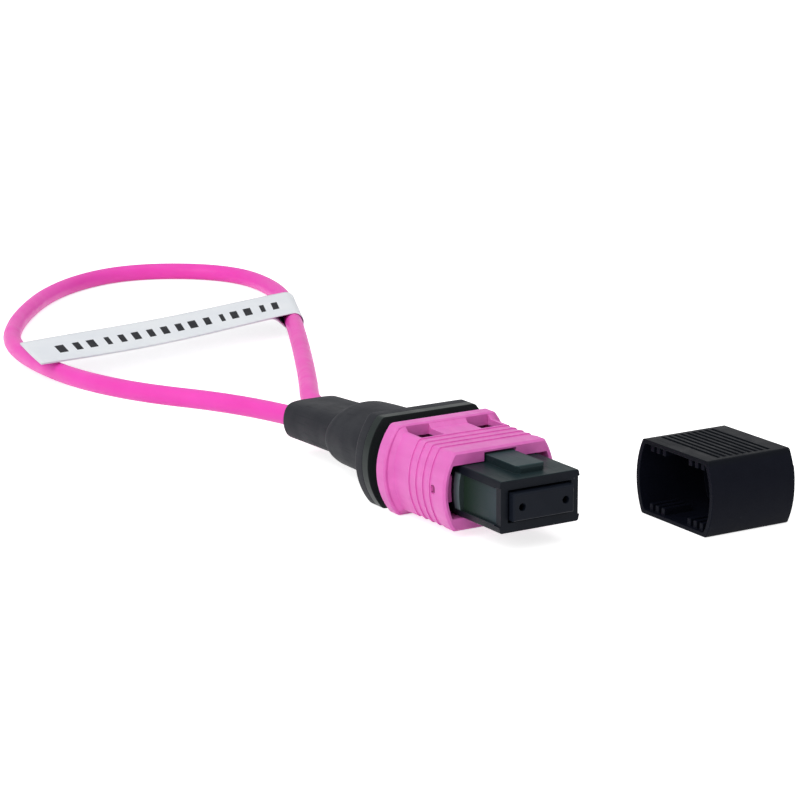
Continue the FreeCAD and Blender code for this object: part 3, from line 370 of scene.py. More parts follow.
def boot_rings():
    """All stretches; on a rounded edge one law is sin a and the other 1 - cos a."""
    even, fine = np.linspace(0.0, 1.0, 9), np.linspace(0.0, 1.0, 24)
    quick, slow = np.sin(even * math.pi / 2), 1 - np.cos(even * math.pi / 2)
    barrel = np.linspace(BARREL_X[0], BARREL_X[-1], 26)
    widths = np.polyval(np.polyfit(BARREL_X, BARREL_WIDTHS, 2), barrel)
    heights = np.polyval(np.polyfit(BARREL_X, BARREL_HEIGHTS, 2), barrel)
    return np.concatenate([
        stretch("front face", "flange front", slow, quick, 0, 0),
        stretch("flange rear", "flange back", quick, slow, 0, 0),
        stretch("flange back", "barrel front", even ** 4, even, even, 0)[1:],
        rings(barrel, widths, heights, 1, 0),
        stretch("barrel rear", "barrel end", quick, slow, 1, 0)[1:],
        stretch("step edge", "step foot", even, even, 1 - even, even)[1:],
        stretch("step foot", "tail foot", even, even, 0, 1)[1:],
        stretch("tail front", "tail rear", fine, fine, 0, 1),
        stretch("end edge", "end face", quick, slow, 0, 1),
        stretch("end face", "end middle", even, even, 0, 1)[1:],
    ])


print("boot rings:", len(boot_rings()))

# %% [markdown]
# The rings are now turned into points. The rear of the boot droops a little
# because the cable pulls it down, so each ring is lowered in proportion to its
# distance behind the flange.

# %% Boot surface
FLANGE_SIDE, FLANGE_SPARE, FLANGE_SHARPNESS = 6.5, 0.8, 70.0
TAIL_SIDE, TAIL_SPARE, TAIL_SHARPNESS = 2.7, 0.2, 9.0
DROOP, DROOP_RUN = 0.9, 19.2


def boot_surface(columns):
    """Ring centre at (x, 0, -droop) + reach * (cos a in y, sin a in z)."""
    x, width, height, ellipse, tail = boot_rings().T[:, :, None]
    angle = np.linspace(0.0, 2 * math.pi, columns, endpoint=False)[None, :]
    flange_side = np.minimum(FLANGE_SIDE, width / 2 + FLANGE_SPARE)
    flange = oval_reach(angle, width, height, flange_side, FLANGE_SHARPNESS)
    tail_side = np.minimum(TAIL_SIDE, width / 2 + TAIL_SPARE)
    back = oval_reach(angle, width, height, tail_side, TAIL_SHARPNESS)
    barrel = ellipse_reach(angle, width, height)
    reach = ellipse * barrel + tail * back + (1 - ellipse - tail) * flange
    droop = DROOP * np.maximum(STATIONS["flange back"][0] - x, 0.0) / DROOP_RUN
    points = np.broadcast_arrays(x, reach * np.cos(angle), reach * np.sin(angle) - droop)
    return np.stack(points, axis=-1)[:, ::-1] * MM


boot = grid_piece("boot_rubber_moulding", boot_surface(columns=200), caps=True)
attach(boot, "frame")
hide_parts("boot")
print("boot", len(boot.data.polygons), "faces")

# %% [markdown]
# ## Moulded pieces from the solids
# The plastic mouldings already have their true shape. A copy of each solid is
# merged into one skin, its flat faces are joined, and every sharp edge gets the
# small round that a mould leaves. That thin line of light along the edges is
# what makes small plastic parts look real. A bevel modifier does it without
# changing the form.

# %% Moulded copies
MERGE_DISTANCE = 0.0015 * MM
FLAT_ANGLE, SHARP_ANGLE = math.radians(0.6), math.radians(28.0)


def moulded(node, body, edge):
    """A merged copy of a solid with its sharp edges rounded by the given radius."""
    mesh = NODES[node].data.copy()
    work = bmesh.new()
    work.from_mesh(mesh)
    bmesh.ops.remove_doubles(work, verts=work.verts, dist=MERGE_DISTANCE)
    bmesh.ops.dissolve_limit(work, angle_limit=FLAT_ANGLE, verts=work.verts, edges=work.edges,
                             use_dissolve_boundaries=False)
    work.to_mesh(mesh)
    work.free()
    for layer in list(mesh.attributes):
        if layer.name == "custom_normal":
            mesh.attributes.remove(layer)
    mesh.materials.clear()
    mesh.polygons.foreach_set("use_smooth", np.ones(len(mesh.polygons), bool))
    piece = bpy.data.objects.new(node + "_moulding", mesh)
    scene.collection.objects.link(piece)
    rounding = piece.modifiers.new("mould_round", "BEVEL")
    rounding.limit_method = "ANGLE"
    rounding.angle_limit = SHARP_ANGLE
    rounding.width = edge
    rounding.segments = 3
    rounding.harden_normals = True
    rounding.use_clamp_overlap = True
    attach(piece, body)
    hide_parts(node)
    print(piece.name, len(mesh.polygons), "faces")
    return piece


shell = moulded("coupling_shell", "shell", edge=0.08 * MM)
housing = moulded("inner_housing", "frame", edge=0.06 * MM)
ferrule = moulded("ferrule", "float", edge=0.03 * MM)
rear_plate = moulded("rear_body", "frame", edge=0.12 * MM)
cap = moulded("dust_cap", "frame", edge=0.1 * MM)

# %% [markdown]
# ## Coil springs
# Three springs sit inside: one pushes the ferrule forward and two return the
# shell. Each is a round wire swept along a helix. The wire's ring stands square
# to the helix, so it needs the direction of travel as well as the direction out
# from the axis.

# %% Springs
SEAT_GAP = 0.02
STEPS_PER_TURN, WIRE_SIDES = 28, 12


def coil_surface(diameter, wire, turns, front, rear, across):
    """Helix (x0 + p a, R cos a, R sin a) with a ring w (out cos t + side sin t) at each a."""
    radius, thick = (diameter - wire) / 2, wire / 2
    first, last = front - thick - SEAT_GAP, rear + thick + SEAT_GAP
    pitch = (last - first) / (2 * math.pi * turns)
    a = np.linspace(0.0, 2 * math.pi * turns, STEPS_PER_TURN * turns + 1)[:, None, None]
    t = np.linspace(0.0, 2 * math.pi, WIRE_SIDES, endpoint=False)[None, :, None]
    zero = np.zeros_like(a)
    out = np.concatenate([zero, np.cos(a), np.sin(a)], axis=2)
    centre = np.concatenate([first + pitch * a, zero + across, zero], axis=2) + radius * out
    ahead = np.concatenate([zero + pitch, -radius * np.sin(a), radius * np.cos(a)], axis=2)
    side = np.cross(ahead / np.linalg.norm(ahead, axis=2, keepdims=True), out)
    return (centre + thick * (out * np.cos(t) + side * np.sin(t))) * MM


def spring(node, diameter, wire, turns, front, rear, across):
    """A coil between its seats, attached to the frame."""
    points = coil_surface(diameter, wire, turns, front, rear, across)
    piece = grid_piece(node + "_coil", points, caps=True)
    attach(piece, "frame")
    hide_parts(node)
    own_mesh(piece)
    print(piece.name, len(piece.data.polygons), "faces")
    return piece


springs = [
    spring("ferrule_spring", diameter=2.8, wire=0.4, turns=5,
           front=-9.9, rear=-14.6, across=0.0),
    spring("shell_spring_left", diameter=1.25, wire=0.2, turns=8,
           front=-9.1, rear=-17.0, across=-4.735),
    spring("shell_spring_right", diameter=1.25, wire=0.2, turns=8,
           front=-9.1, rear=-17.0, across=4.735),
]

# %% [markdown]
# ## Finishes from shared node groups
# Real plastic is never one flat colour: the pigment drifts a little where the
# melt flowed, the tool leaves a fine grain, and fingers leave smoother patches.
# Each of these effects is a small node group that takes a place on the object
# and gives back a colour, a value or a height. Materials then combine them, and
# a change to a group reaches every material that uses it.

# %% Node helpers


def plug(tree, node, sockets):
    """Each named socket is linked to another socket or given a value; colours are red, green, blue."""
    for key, value in sockets.items():
        socket = node.inputs[key]
        if isinstance(value, bpy.types.NodeSocket):
            tree.links.new(value, socket)
        elif socket.type == "RGBA":
            socket.default_value = (*value, 1.0)
        else:
            socket.default_value = value


def put(tree, kind, sockets, **settings):
    """A new shader node with its settings and its sockets."""
    made = tree.nodes.new("ShaderNode" + kind)
    for key, value in settings.items():
        setattr(made, key, value)
    plug(tree, made, sockets)
    return made


def new_group(name, inputs, outputs):
    """An empty shader group with its sockets; returns it, what enters it and its exit."""
    group = bpy.data.node_groups.new(name, "ShaderNodeTree")
    for side, sockets in (("INPUT", inputs), ("OUTPUT", outputs)):
        for title, kind in sockets.items():
            group.interface.new_socket(title, in_out=side, socket_type="NodeSocket" + kind)
    return group, group.nodes.new("NodeGroupInput").outputs, group.nodes.new("NodeGroupOutput")


def use(tree, group, sockets):
    """A group node in a tree; returns its outputs."""
    return put(tree, "Group", sockets, node_tree=group).outputs


print("node helpers ready")

# %% [markdown]
# Four kinds of node come up again and again: a mix of two colours, a ramp, a bit
# of arithmetic and a noise. A shorthand for each hands back the one socket that
# is wanted from it.

# %% Node shorthands


def mix_colour(tree, share, first, second):
    """A mix of two colours."""
    return put(tree, "Mix", {0: share, 6: first, 7: second}, data_type="RGBA").outputs[2]


def ramp(tree, value, start, stop, low=0.0, high=1.0, **settings):
    """The value mapped so that start gives low and stop gives high."""
    sockets = {"Value": value, "From Min": start, "From Max": stop, "To Min": low, "To Max": high}
    return put(tree, "MapRange", sockets, **settings).outputs[0]


def maths(tree, operation, *values):
    """One Math operation on the values."""
    return put(tree, "Math", dict(enumerate(values)), operation=operation).outputs[0]


def noise(tree, place, scale, detail, **more):
    """A noise at a place; more are its other sockets, by name."""
    sockets = {"Vector": place, "Scale": scale, "Detail": detail, **more}
    return put(tree, "TexNoise", sockets).outputs["Fac"]


def parts_of(tree, place):
    """The X, Y and Z of a place."""
    return put(tree, "SeparateXYZ", {0: place}).outputs


print("node shorthands ready")

# %% [markdown]
# ### Pigment drift
# Melted plastic carries its pigment in long streaks along the flow, which here is
# the plug's own axis. Two noises, one broad and one drawn out along X, shift the
# colour between a darker and a lighter tone. Flow says how much of the streaks
# goes in: the cable and the film have none.

# %% Group: pigment drift
drift_group, entry, leave = new_group(
    "pigment_drift", {"Place": "Vector", "Dark": "Color", "Light": "Color", "Flow": "Float"},
    {"Color": "Color"})
broad = noise(drift_group, entry["Place"], scale=160.0, detail=3.0, Roughness=0.55)
drawn = put(drift_group, "Mapping", {"Vector": entry["Place"], "Scale": (120.0, 900.0, 900.0)})
streak = noise(drift_group, drawn.outputs[0], scale=1.0, detail=2.0)
mixed = put(drift_group, "Mix", {0: entry["Flow"], 2: broad, 3: streak}).outputs[0]
spread = ramp(drift_group, mixed, 0.32, 0.68)
plug(drift_group, leave, {"Color": mix_colour(drift_group, spread, entry["Dark"], entry["Light"])})
print("group", drift_group.name)

# %% [markdown]
# ### Tool grain
# A mould is eroded by sparks, and the plastic copies its fine pitted skin. A cell
# pattern gives the pits and a noise breaks them up. The group gives a height,
# which a Bump node in each material turns into tilted normals.

# %% Group: tool grain
grain_group, entry, leave = new_group(
    "tool_grain", {"Place": "Vector", "Fineness": "Float"}, {"Height": "Float"})
pits = put(grain_group, "TexVoronoi", {"Vector": entry["Place"], "Scale": entry["Fineness"]},
           feature="SMOOTH_F1")
cloud = noise(grain_group, entry["Place"], scale=entry["Fineness"], detail=3.0)
plug(grain_group, leave, {"Height": maths(grain_group, "ADD", pits.outputs["Distance"], cloud)})
print("group", grain_group.name)

# %% [markdown]
# ### Handling marks
# Where fingers touch, the skin is polished or slightly greasy, so the gloss varies
# in soft patches with a few fine hairlines through them. The group moves the
# roughness between a smooth and a dull value.

# %% Group: handling marks
marks_group, entry, leave = new_group(
    "handling_marks", {"Place": "Vector", "Smooth": "Float", "Dull": "Float"}, {"Roughness": "Float"})
patch = noise(marks_group, entry["Place"], scale=420.0, detail=4.0, Distortion=0.6)
tilted = put(marks_group, "Mapping", {"Vector": entry["Place"], "Rotation": (0.4, 0.7, 0.5),
                                      "Scale": (300.0, 6000.0, 6000.0)})
fine = noise(marks_group, tilted.outputs[0], scale=1.0, detail=1.0)
hairs = ramp(marks_group, fine, 0.62, 0.7, 0.0, 0.25)
marked = maths(marks_group, "ADD", patch, hairs)
rough = ramp(marks_group, marked, 0.3, 0.75, entry["Smooth"], entry["Dull"])
plug(marks_group, leave, {"Roughness": rough})
print("group", marks_group.name)

# %% [markdown]
# ### Dust
# Black plastic always carries a few pale specks. Cells of a Voronoi pattern give
# scattered points, and a noise thins them out so that they sit in drifts.

# %% Group: dust specks
dust_group, entry, leave = new_group("dust_specks", {"Place": "Vector"}, {"Mask": "Float"})
dots = put(dust_group, "TexVoronoi", {"Vector": entry["Place"], "Scale": 700.0})
small = ramp(dust_group, dots.outputs["Distance"], 0.09, 0.05)
where = noise(dust_group, entry["Place"], scale=260.0, detail=2.0)
thin = ramp(dust_group, where, 0.52, 0.66)
plug(dust_group, leave, {"Mask": maths(dust_group, "MULTIPLY", small, thin)})
print("group", dust_group.name)

# %% [markdown]
# ### Painted highlight on top faces
# Faces that look up catch the top light, so dark plastic is painted paler there as a
# painted highlight. On these box-like pieces the top is simply what lies above a height, so
# the group is a ramp along Z between two heights.

# %% Group: painted top highlight
# painted highlight: faces above a height are painted paler
top_highlight_group, entry, leave = new_group(
    "painted_top_highlight", {"Place": "Vector", "From": "Float", "To": "Float"}, {"Mask": "Float"})
lit_from_above = ramp(top_highlight_group, parts_of(top_highlight_group, entry["Place"])["Z"], entry["From"], entry["To"])
plug(top_highlight_group, leave, {"Mask": lit_from_above})
print("group", top_highlight_group.name)

# %% [markdown]
# ### A block of places
# A finish often changes inside one moulded pocket. This group is 1 inside a block
# round a centre and 0 outside it. The three distances from the centre are divided
# by the block's half sizes, and the largest of them says how far out a place is.

# %% Group: block
block_group, entry, leave = new_group(
    "block", {"Place": "Vector", "Centre": "Vector", "Half": "Vector"}, {"Mask": "Float"})
away = put(block_group, "VectorMath", {0: entry["Place"], 1: entry["Centre"]}, operation="SUBTRACT")
share = put(block_group, "VectorMath", {0: away.outputs[0], 1: entry["Half"]}, operation="DIVIDE")
size = put(block_group, "VectorMath", {0: share.outputs[0]}, operation="ABSOLUTE")
sides = parts_of(block_group, size.outputs[0])
wider = maths(block_group, "MAXIMUM", sides["X"], sides["Y"])
widest = maths(block_group, "MAXIMUM", wider, sides["Z"])
plug(block_group, leave, {"Mask": ramp(block_group, widest, 1.0, 0.9)})
print("group", block_group.name)

# %% [markdown]
# ## Plastic and rubber finishes
# One recipe serves all the mouldings: drifting pigment, dust, marks and grain go
# into the sockets that vary over the surface. What is the same everywhere, such
# as the strength of the reflection, is set on the shader itself.

# %% Finish helpers


def shader_of(name):
    """A new material, its tree, its Principled shader and its object coordinates."""
    material = bpy.data.materials.new(name)
    material.use_nodes = True
    tree = material.node_tree
    place = put(tree, "TexCoord", {}).outputs["Object"]
    return material, tree, tree.nodes["Principled BSDF"], place


def relief(tree, shader, height, distance, strength):
    """A Bump node from a height socket into the shader's normal."""
    bump = put(tree, "Bump", {"Height": height, "Distance": distance, "Strength": strength})
    plug(tree, shader, {"Normal": bump.outputs["Normal"]})


def overlay(tree, shader, mask, colour):
    """A colour laid by a mask over what the shader's base colour shows so far."""
    under = shader.inputs["Base Color"].links[0].from_socket
    plug(tree, shader, {"Base Color": mix_colour(tree, mask, under, colour)})


def dress(piece, material):
    """The piece shows this material only."""
    piece.data.materials.clear()
    piece.data.materials.append(material)


print("finish helpers ready")

# %% [markdown]
# The recipe itself takes the two tones of the pigment, the range of the gloss and
# the fineness and depth of the grain.

# %% Moulding recipe
STREAKS = 0.45
DUST_TONE = (0.30, 0.30, 0.31)
GRAIN_DISTANCE = 0.01 * MM


def pigment(tree, place, dark, light, flow=0.0):
    """Drifting pigment as a colour."""
    return use(tree, drift_group, {"Place": place, "Dark": dark, "Light": light, "Flow": flow})["Color"]


def handled(tree, place, smooth, dull):
    """Handling marks as a roughness."""
    return use(tree, marks_group, {"Place": place, "Smooth": smooth, "Dull": dull})["Roughness"]


def moulding_finish(name, dark, light, smooth, dull, fineness, depth, dust=0.0, reflect=0.5):
    """Drifting pigment, handling marks, tool grain and, if asked for, dust."""
    material, tree, shader, place = shader_of(name)
    plug(tree, shader, {"Base Color": pigment(tree, place, dark, light, STREAKS),
                        "Roughness": handled(tree, place, smooth, dull),
                        "Specular IOR Level": reflect})
    if dust:
        specks = use(tree, dust_group, {"Place": place})["Mask"]
        overlay(tree, shader, maths(tree, "MULTIPLY", specks, dust), DUST_TONE)
    grain = use(tree, grain_group, {"Place": place, "Fineness": fineness})["Height"]
    relief(tree, shader, grain, distance=GRAIN_DISTANCE, strength=depth)
    return material, tree, shader, place


print("moulding recipe ready")

# %% [markdown]
# ### The pink shell
# The sliding shell is pigmented right through, and light enters its thin edges a
# little way. A small amount of subsurface scattering keeps its shadows warm. The
# pit of the moulding gate, where the runner was broken off, is darkened with painted shade.

# %% Shell finish
GATE_PIT_SHADE = (0.30, 0.03, 0.17)
shell_finish, tree, shader, place = moulding_finish(
    "shell_pink", (0.74, 0.138, 0.51), (0.86, 0.195, 0.61), smooth=0.40, dull=0.54,
    fineness=9000.0, depth=0.25, reflect=0.4)
plug(tree, shader, {"Subsurface Weight": 0.12, "Subsurface Radius": (1.0, 0.35, 0.7),
                    "Subsurface Scale": 0.4 * MM})
# painted shade darkens the gate's pit
gate_shade = use(tree, block_group, {"Place": place, "Centre": mm(-8.9, -5.8, 0.0), "Half": mm(0.36, 0.3, 0.36)})
overlay(tree, shader, gate_shade["Mask"], GATE_PIT_SHADE)
dress(shell, shell_finish)
print("finish", shell_finish.name)

# %% [markdown]
# ### The dark nose
# The nose is a blue black moulding. Its latch pockets get a green-grey tone that
# darkens towards the shell as painted shade, the shoulder behind each pocket gets
# painted light against the shell's shadow, and its top and, stronger, the key get a painted highlight. Each
# is one mask over the pigment.

# %% Nose finish
TOP_HIGHLIGHT_TONE, KEY_HIGHLIGHT_TONE = (0.0120, 0.0235, 0.0265), (0.0330, 0.0570, 0.0610)
POCKET_FRONT_LIT_TONE, POCKET_REAR_SHADED_TONE = (0.0330, 0.0500, 0.0600), (0.0165, 0.0320, 0.0220)
SHOULDER_PAINTED_LIGHT = (0.135, 0.180, 0.192)
nose_finish, tree, shader, place = moulding_finish(
    "nose_grey", (0.0054, 0.0074, 0.0120), (0.0084, 0.0108, 0.0164), smooth=0.34, dull=0.48,
    fineness=8000.0, depth=0.3, dust=0.08, reflect=0.08)
# painted highlight: the top face and, paler still, the key are painted lighter
top = use(tree, top_highlight_group, {"Place": place, "From": 2.30 * MM, "To": 2.36 * MM})
overlay(tree, shader, top["Mask"], TOP_HIGHLIGHT_TONE)
key = use(tree, top_highlight_group, {"Place": place, "From": 2.98 * MM, "To": 3.04 * MM})
overlay(tree, shader, key["Mask"], KEY_HIGHLIGHT_TONE)
# painted shade: the pocket tone darkens towards the shell that shades it
inwards = ramp(tree, parts_of(tree, place)["X"], -1.6 * MM, -6.4 * MM)
pocket_shade = mix_colour(tree, inwards, POCKET_FRONT_LIT_TONE, POCKET_REAR_SHADED_TONE)
both_sides = put(tree, "VectorMath", {0: place}, operation="ABSOLUTE").outputs[0]
pocket = use(tree, block_group, {"Place": both_sides, "Centre": mm(4.2, 4.15, 0.0),
                                 "Half": mm(2.85, 0.3, 1.72)})
overlay(tree, shader, pocket["Mask"], pocket_shade)
# painted light on the shoulder behind each pocket, where the shell shades it
shoulder_light = use(tree, block_group, {"Place": both_sides, "Centre": mm(7.35, 4.3, 0.0),
                                   "Half": mm(0.46, 0.6, 1.75)})
overlay(tree, shader, shoulder_light["Mask"], SHOULDER_PAINTED_LIGHT)
dress(housing, nose_finish)
print("finish", nose_finish.name)

# %% [markdown]
# ### The ferrule
# The ferrule is a glass-filled plastic: pale specks of glass sit in dark resin.
# Its face is polished flat, so the roughness falls in the last hundredths of a
# millimetre at the front. A ramp along X finds that face.

# %% Ferrule finish
FLECK_TONE = (0.020, 0.022, 0.028)
ferrule_finish, tree, shader, place = shader_of("ferrule_resin")
resin = pigment(tree, place, (0.0050, 0.0072, 0.0132), (0.0080, 0.0106, 0.0174), flow=0.3)
glass = put(tree, "TexVoronoi", {"Vector": place, "Scale": 16000.0})
flecks = ramp(tree, glass.outputs["Distance"], 0.3, 0.12, 0.0, 0.35)
dull = handled(tree, place, smooth=0.45, dull=0.6)
polish = ramp(tree, parts_of(tree, place)["X"], -0.06 * MM, -0.02 * MM, 1.0, 0.6)
plug(tree, shader, {"Base Color": mix_colour(tree, flecks, resin, FLECK_TONE),
                    "Roughness": maths(tree, "MULTIPLY", dull, polish),
                    "Specular IOR Level": 0.08})
relief(tree, shader, flecks, distance=0.004 * MM, strength=0.3)
dress(ferrule, ferrule_finish)
print("finish", ferrule_finish.name)

# %% [markdown]
# ### Black rear plate, rubber boot and dust cap
# These three are nearly black but do not look alike: the plate is the smoothest,
# the boot is dull grey rubber that holds dust, and the cap is satin with
# hairlines from being pushed on and pulled off, with a painted highlight on its top.

# %% Black finishes
CAP_TOP_HIGHLIGHT = (0.0052, 0.0064, 0.0096)
rear_finish = moulding_finish(
    "rear_black", (0.0150, 0.0215, 0.0205), (0.0200, 0.0275, 0.0265), smooth=0.26, dull=0.40,
    fineness=7000.0, depth=0.15, dust=0.06, reflect=0.12)[0]
boot_finish = moulding_finish(
    "boot_rubber_grey", (0.0165, 0.0175, 0.0225), (0.0240, 0.0255, 0.0315), smooth=0.55, dull=0.70,
    fineness=5200.0, depth=0.45, dust=0.12, reflect=0.16)[0]
cap_finish, tree, shader, place = moulding_finish(
    "cap_black", (0.0040, 0.0048, 0.0096), (0.0060, 0.0070, 0.0126), smooth=0.34, dull=0.5,
    fineness=6500.0, depth=0.3, dust=0.12, reflect=0.04)
cap_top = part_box("dust_cap")[1][2]
# painted highlight: the cap's top is painted paler
top = use(tree, top_highlight_group, {"Place": place, "From": cap_top - 0.6 * MM, "To": cap_top - 0.2 * MM})
overlay(tree, shader, top["Mask"], CAP_TOP_HIGHLIGHT)
dress(rear_plate, rear_finish)
dress(boot, boot_finish)
dress(cap, cap_finish)
print("finishes", rear_finish.name, boot_finish.name, cap_finish.name)

# %% [markdown]
# ### The cable's jacket
# The jacket is extruded, so its skin has a very fine waviness and faint dull
# patches but no mould marks. Bright pink pigment lets some light in, which the
# subsurface weight stands for.

# %% Cable finish
cable_finish, tree, shader, place = shader_of("cable_pink")
plug(tree, shader, {"Base Color": pigment(tree, place, (0.90, 0.062, 0.505), (0.95, 0.076, 0.55)),
                    "Roughness": handled(tree, place, smooth=0.36, dull=0.5), "Specular IOR Level": 0.26,
                    "Subsurface Weight": 0.15, "Subsurface Radius": (1.0, 0.2, 0.7),
                    "Subsurface Scale": 0.5 * MM})
ripple = noise(tree, place, scale=1500.0, detail=4.0, Roughness=0.6)
relief(tree, shader, ripple, distance=0.02 * MM, strength=0.07)
dress(cable, cable_finish)
print("finish", cable_finish.name)

# %% [markdown]
# ### Print on the label
# The label carries a row of plain dark fields. The sheet's own UV map runs from
# the fold to the free end, so the fields follow the film over its bends. Cells
# along U get random widths, and a band across V gives the row its height.

# %% Group: printed fields
FIELDS = 16.0
print_group, entry, leave = new_group("printed_fields", {"Place": "Vector"}, {"Mask": "Float"})
uv = parts_of(print_group, entry["Place"])
cells = ramp(print_group, uv["X"], 0.05, 0.93, 0.0, FIELDS, clamp=False)
within = maths(print_group, "FRACT", cells)
chance = put(print_group, "TexWhiteNoise", {"W": maths(print_group, "FLOOR", cells)}, noise_dimensions="1D")
wide = ramp(print_group, chance.outputs["Value"], 0.0, 1.0, 0.3, 0.58)
inked = maths(print_group, "LESS_THAN", within, wide)
row = maths(print_group, "COMPARE", uv["Y"], 0.47, 0.155)
started = maths(print_group, "GREATER_THAN", cells, 0.0)
unended = maths(print_group, "LESS_THAN", cells, FIELDS)
band = maths(print_group, "MULTIPLY", inked, row)
ends = maths(print_group, "MULTIPLY", started, unended)
plug(print_group, leave, {"Mask": maths(print_group, "MULTIPLY", ends, band)})
print("group", print_group.name)

# %% [markdown]
# The film itself is white with a cold cast, slightly cloudy, and a little smoother
# than the ink that sits on it. Its reflection is weak, so the ink stays dark.

# %% Label finish
INK_TONE, INK_DULLING = (0.014, 0.015, 0.020), 0.15
label_finish, tree, shader, place = shader_of("label_film_white")
own_map = put(tree, "UVMap", {}, uv_map="label_place")
ink = use(tree, print_group, {"Place": own_map.outputs["UV"]})["Mask"]
white = pigment(tree, place, (0.865, 0.900, 0.950), (0.920, 0.950, 0.985))
gloss = maths(tree, "MULTIPLY_ADD", ink, INK_DULLING, handled(tree, place, smooth=0.34, dull=0.46))
plug(tree, shader, {"Base Color": mix_colour(tree, ink, white, INK_TONE), "Roughness": gloss,
                    "Specular IOR Level": 0.03})
wave = noise(tree, place, scale=300.0, detail=2.0)
relief(tree, shader, wave, distance=0.03 * MM, strength=0.35)
dress(label, label_finish)
print("finish", label_finish.name)

# %% [markdown]
# ## Pieces inside the plug
# The keeper, the crimp and the fibres keep their solids, because they are hidden
# once the plug is together and their shape is already right. They still get real
# finishes, so that a cutaway or an exploded view looks finished too. Drawn wire
# and turned metal share one group: a noise stretched along the working direction.

# %% Group: drawn metal
metal_group, entry, leave = new_group(
    "drawn_metal", {"Place": "Vector", "Dark": "Color", "Light": "Color", "Smooth": "Float", "Dull": "Float"},
    {"Color": "Color", "Roughness": "Float", "Height": "Float"})
pulled = put(metal_group, "Mapping", {"Vector": entry["Place"], "Scale": (14000.0, 1400.0, 1400.0)})
lines = noise(metal_group, pulled.outputs[0], scale=1.0, detail=3.0)
stain = noise(metal_group, entry["Place"], scale=500.0, detail=3.0)
plug(metal_group, leave, {"Color": mix_colour(metal_group, stain, entry["Dark"], entry["Light"]),
                          "Roughness": ramp(metal_group, lines, 0.3, 0.7, entry["Smooth"], entry["Dull"]),
                          "Height": lines})
print("group", metal_group.name)

# %% [markdown]
# Three metals come from that group. Spring steel is bright and hard, the pin
# keeper is stamped and duller, and the crimp sleeve is soft turned alloy.

# %% Metal finishes


def metal_finish(name, dark, light, smooth, dull):
    """Drawn metal: colour, gloss and fine relief from the same group."""
    material, tree, shader, place = shader_of(name)
    made = use(tree, metal_group, {"Place": place, "Dark": dark, "Light": light,
                                   "Smooth": smooth, "Dull": dull})
    plug(tree, shader, {"Base Color": made["Color"], "Roughness": made["Roughness"], "Metallic": 1.0})
    relief(tree, shader, made["Height"], distance=0.003 * MM, strength=0.3)
    return material


def redress(node, material):
    """A carried-over solid shows this material; its mesh stays as it is."""
    for slot in NODES[node].material_slots:
        slot.link = "OBJECT"
        slot.material = material
    print(node, "wears", material.name)


spring_finish = metal_finish("spring_steel_wire", (0.42, 0.42, 0.44), (0.60, 0.60, 0.62), 0.18, 0.34)
for coil in springs:
    dress(coil, spring_finish)
redress("pin_keeper", metal_finish("keeper_stamped", (0.40, 0.38, 0.35), (0.56, 0.54, 0.50), 0.30, 0.46))
redress("crimp_sleeve", metal_finish("crimp_alloy", (0.58, 0.58, 0.60), (0.76, 0.76, 0.77), 0.24, 0.42))

# %% [markdown]
# The soft pieces are the rubber sleeve in the ferrule and the layer of yarn under
# the crimp. Yarn is a bundle of thin threads, so a noise stretched along X draws
# them.

# %% Sleeve and yarn finishes
redress("ferrule_boot", moulding_finish(
    "sleeve_rubber_dark", (0.016, 0.016, 0.018), (0.03, 0.03, 0.033), smooth=0.55, dull=0.7,
    fineness=6000.0, depth=0.4)[0])

yarn_finish, tree, shader, place = shader_of("yarn_threads")
combed = put(tree, "Mapping", {"Vector": place, "Scale": (500.0, 9000.0, 9000.0)})
threads = noise(tree, combed.outputs[0], scale=1.0, detail=3.0)
plug(tree, shader, {"Base Color": mix_colour(tree, threads, (0.42, 0.26, 0.03), (0.88, 0.66, 0.16)),
                    "Roughness": ramp(tree, threads, 0.0, 1.0, 0.7, 0.45)})
relief(tree, shader, threads, distance=0.04 * MM, strength=0.7)
redress("yarn_layer", yarn_finish)

# %% [markdown]
# Coated fibres are told apart by colour, so the bundle gets one band of colour for
# each fibre round its axis. The angle round the axis picks the band.

# %% Fibre finish
COATINGS = [
    (0.02, 0.10, 0.55), (0.85, 0.25, 0.02), (0.03, 0.35, 0.06), (0.16, 0.06, 0.02),
    (0.30, 0.32, 0.34), (0.85, 0.85, 0.82), (0.65, 0.02, 0.02), (0.01, 0.01, 0.01),
    (0.85, 0.62, 0.02), (0.22, 0.05, 0.42), (0.85, 0.28, 0.42), (0.05, 0.55, 0.55),
]
fibre_finish, tree, shader, place = shader_of("fibre_coatings")
xyz = parts_of(tree, place)
angle = maths(tree, "ARCTAN2", xyz["Z"], xyz["Y"])
bands = put(tree, "ValToRGB", {"Fac": ramp(tree, angle, -math.pi, math.pi)})
stops = bands.color_ramp.elements
bands.color_ramp.interpolation = "CONSTANT"
for count, coating in enumerate(COATINGS):
    if count > 1:
        stops.new(count / len(COATINGS))
    stops[count].position = count / len(COATINGS)
    stops[count].color = (*coating, 1.0)
plug(tree, shader, {"Base Color": bands.outputs["Color"],
                    "Roughness": handled(tree, place, smooth=0.28, dull=0.45)})
redress("fibre_bundle", fibre_finish)

# %% [markdown]
# ## The table
# The plug lies on white paper without an edge. Paper that is lit evenly never
# renders quite white, so for rays that the camera or a reflection sends it adds a
# glow. It stays an ordinary matt surface for the light itself, so it still takes
# the soft shadow under the plug.

# %% Table
REACH = 4.0
PAPER_TONE, PAPER_GLOW = (0.9, 0.9, 0.9), 0.72


def seen_directly(tree):
    """One for camera, glossy and transmission rays, zero for the rest."""
    path = put(tree, "LightPath", {}).outputs
    first = maths(tree, "MAXIMUM", path["Is Camera Ray"], path["Is Glossy Ray"])
    return maths(tree, "MAXIMUM", first, path["Is Transmission Ray"])


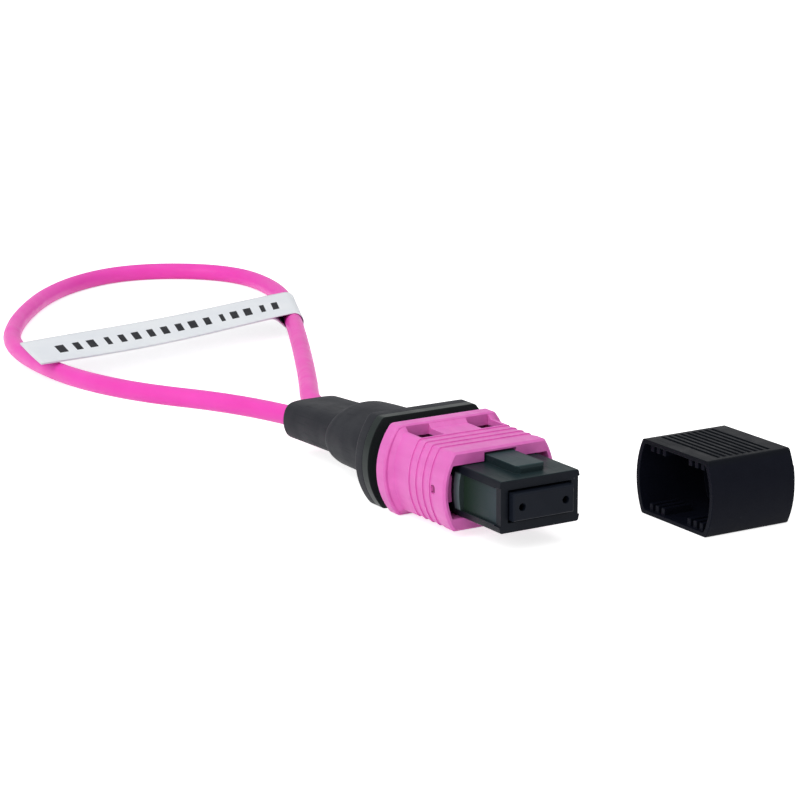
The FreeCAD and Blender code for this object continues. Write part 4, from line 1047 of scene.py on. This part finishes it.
corners = np.array([(-1, -1, 0), (1, -1, 0), (1, 1, 0), (-1, 1, 0)]) * REACH + FLOOR * upright
mesh = bpy.data.meshes.new("table")
mesh.from_pydata(corners.tolist(), [], [(0, 1, 2, 3)])
table = bpy.data.objects.new("table", mesh)
scene.collection.objects.link(table)
paper = bpy.data.materials.new("table_paper")
paper.use_nodes = True
tree = paper.node_tree
tree.nodes.clear()
matt = put(tree, "BsdfDiffuse", {"Color": PAPER_TONE})
glow = put(tree, "Emission", {"Strength": maths(tree, "MULTIPLY", seen_directly(tree), PAPER_GLOW)})
lit = put(tree, "AddShader", {0: matt.outputs[0], 1: glow.outputs[0]})
put(tree, "OutputMaterial", {"Surface": lit.outputs[0]})
dress(table, paper)
print("table at", round(FLOOR / MM, 2), "mm")

# %% [markdown]
# ## The light
# The studio is a large soft box on the camera's side, a wide one above, and a weak
# one from the far right that draws the edges of the black cap. The world adds an
# even level all round and looks white where it is seen.

# %% Light
EVEN_LEVEL, SEEN_LEVEL = 0.45, 1.0
LIGHT_AIM = np.array([-0.03, 0.005, 0.0])

world = bpy.data.worlds.new("studio")
scene.world = world
world.use_nodes = True
tree = world.node_tree
tree.nodes.clear()
level = ramp(tree, seen_directly(tree), 0.0, 1.0, EVEN_LEVEL, SEEN_LEVEL)
sky = put(tree, "Background", {"Strength": level})
put(tree, "OutputWorld", {"Surface": sky.outputs[0]})


def softbox(name, place, size, power):
    """A square area lamp that faces the middle of the object."""
    data = bpy.data.lights.new(name, "AREA")
    data.shape = "SQUARE"
    data.size = size
    data.energy = power
    lamp = bpy.data.objects.new(name, data)
    back = unit(np.array(place) - LIGHT_AIM)
    side = unit(np.cross(upright, back))
    turn = np.eye(4)
    turn[:3, :4] = np.column_stack([side, np.cross(back, side), back, place])
    lamp.matrix_world = Matrix(turn.tolist())
    scene.collection.objects.link(lamp)
    print(name, power, "W")


softbox("key_light", (0.12, -0.5, 0.35), size=0.5, power=2.2)
softbox("top_light", (-0.05, 0.1, 0.7), size=0.7, power=1.6)
softbox("fill_light", (0.5, 0.35, 0.3), size=0.5, power=0.4)

# %% [markdown]
# ## Sizes
# The dressed pieces are meant to keep the size of the solids; the box of the
# solids is printed.

# %% Sizes
print("CAD box", np.round(np.array(CAD_BOX) / MM, 2).tolist())
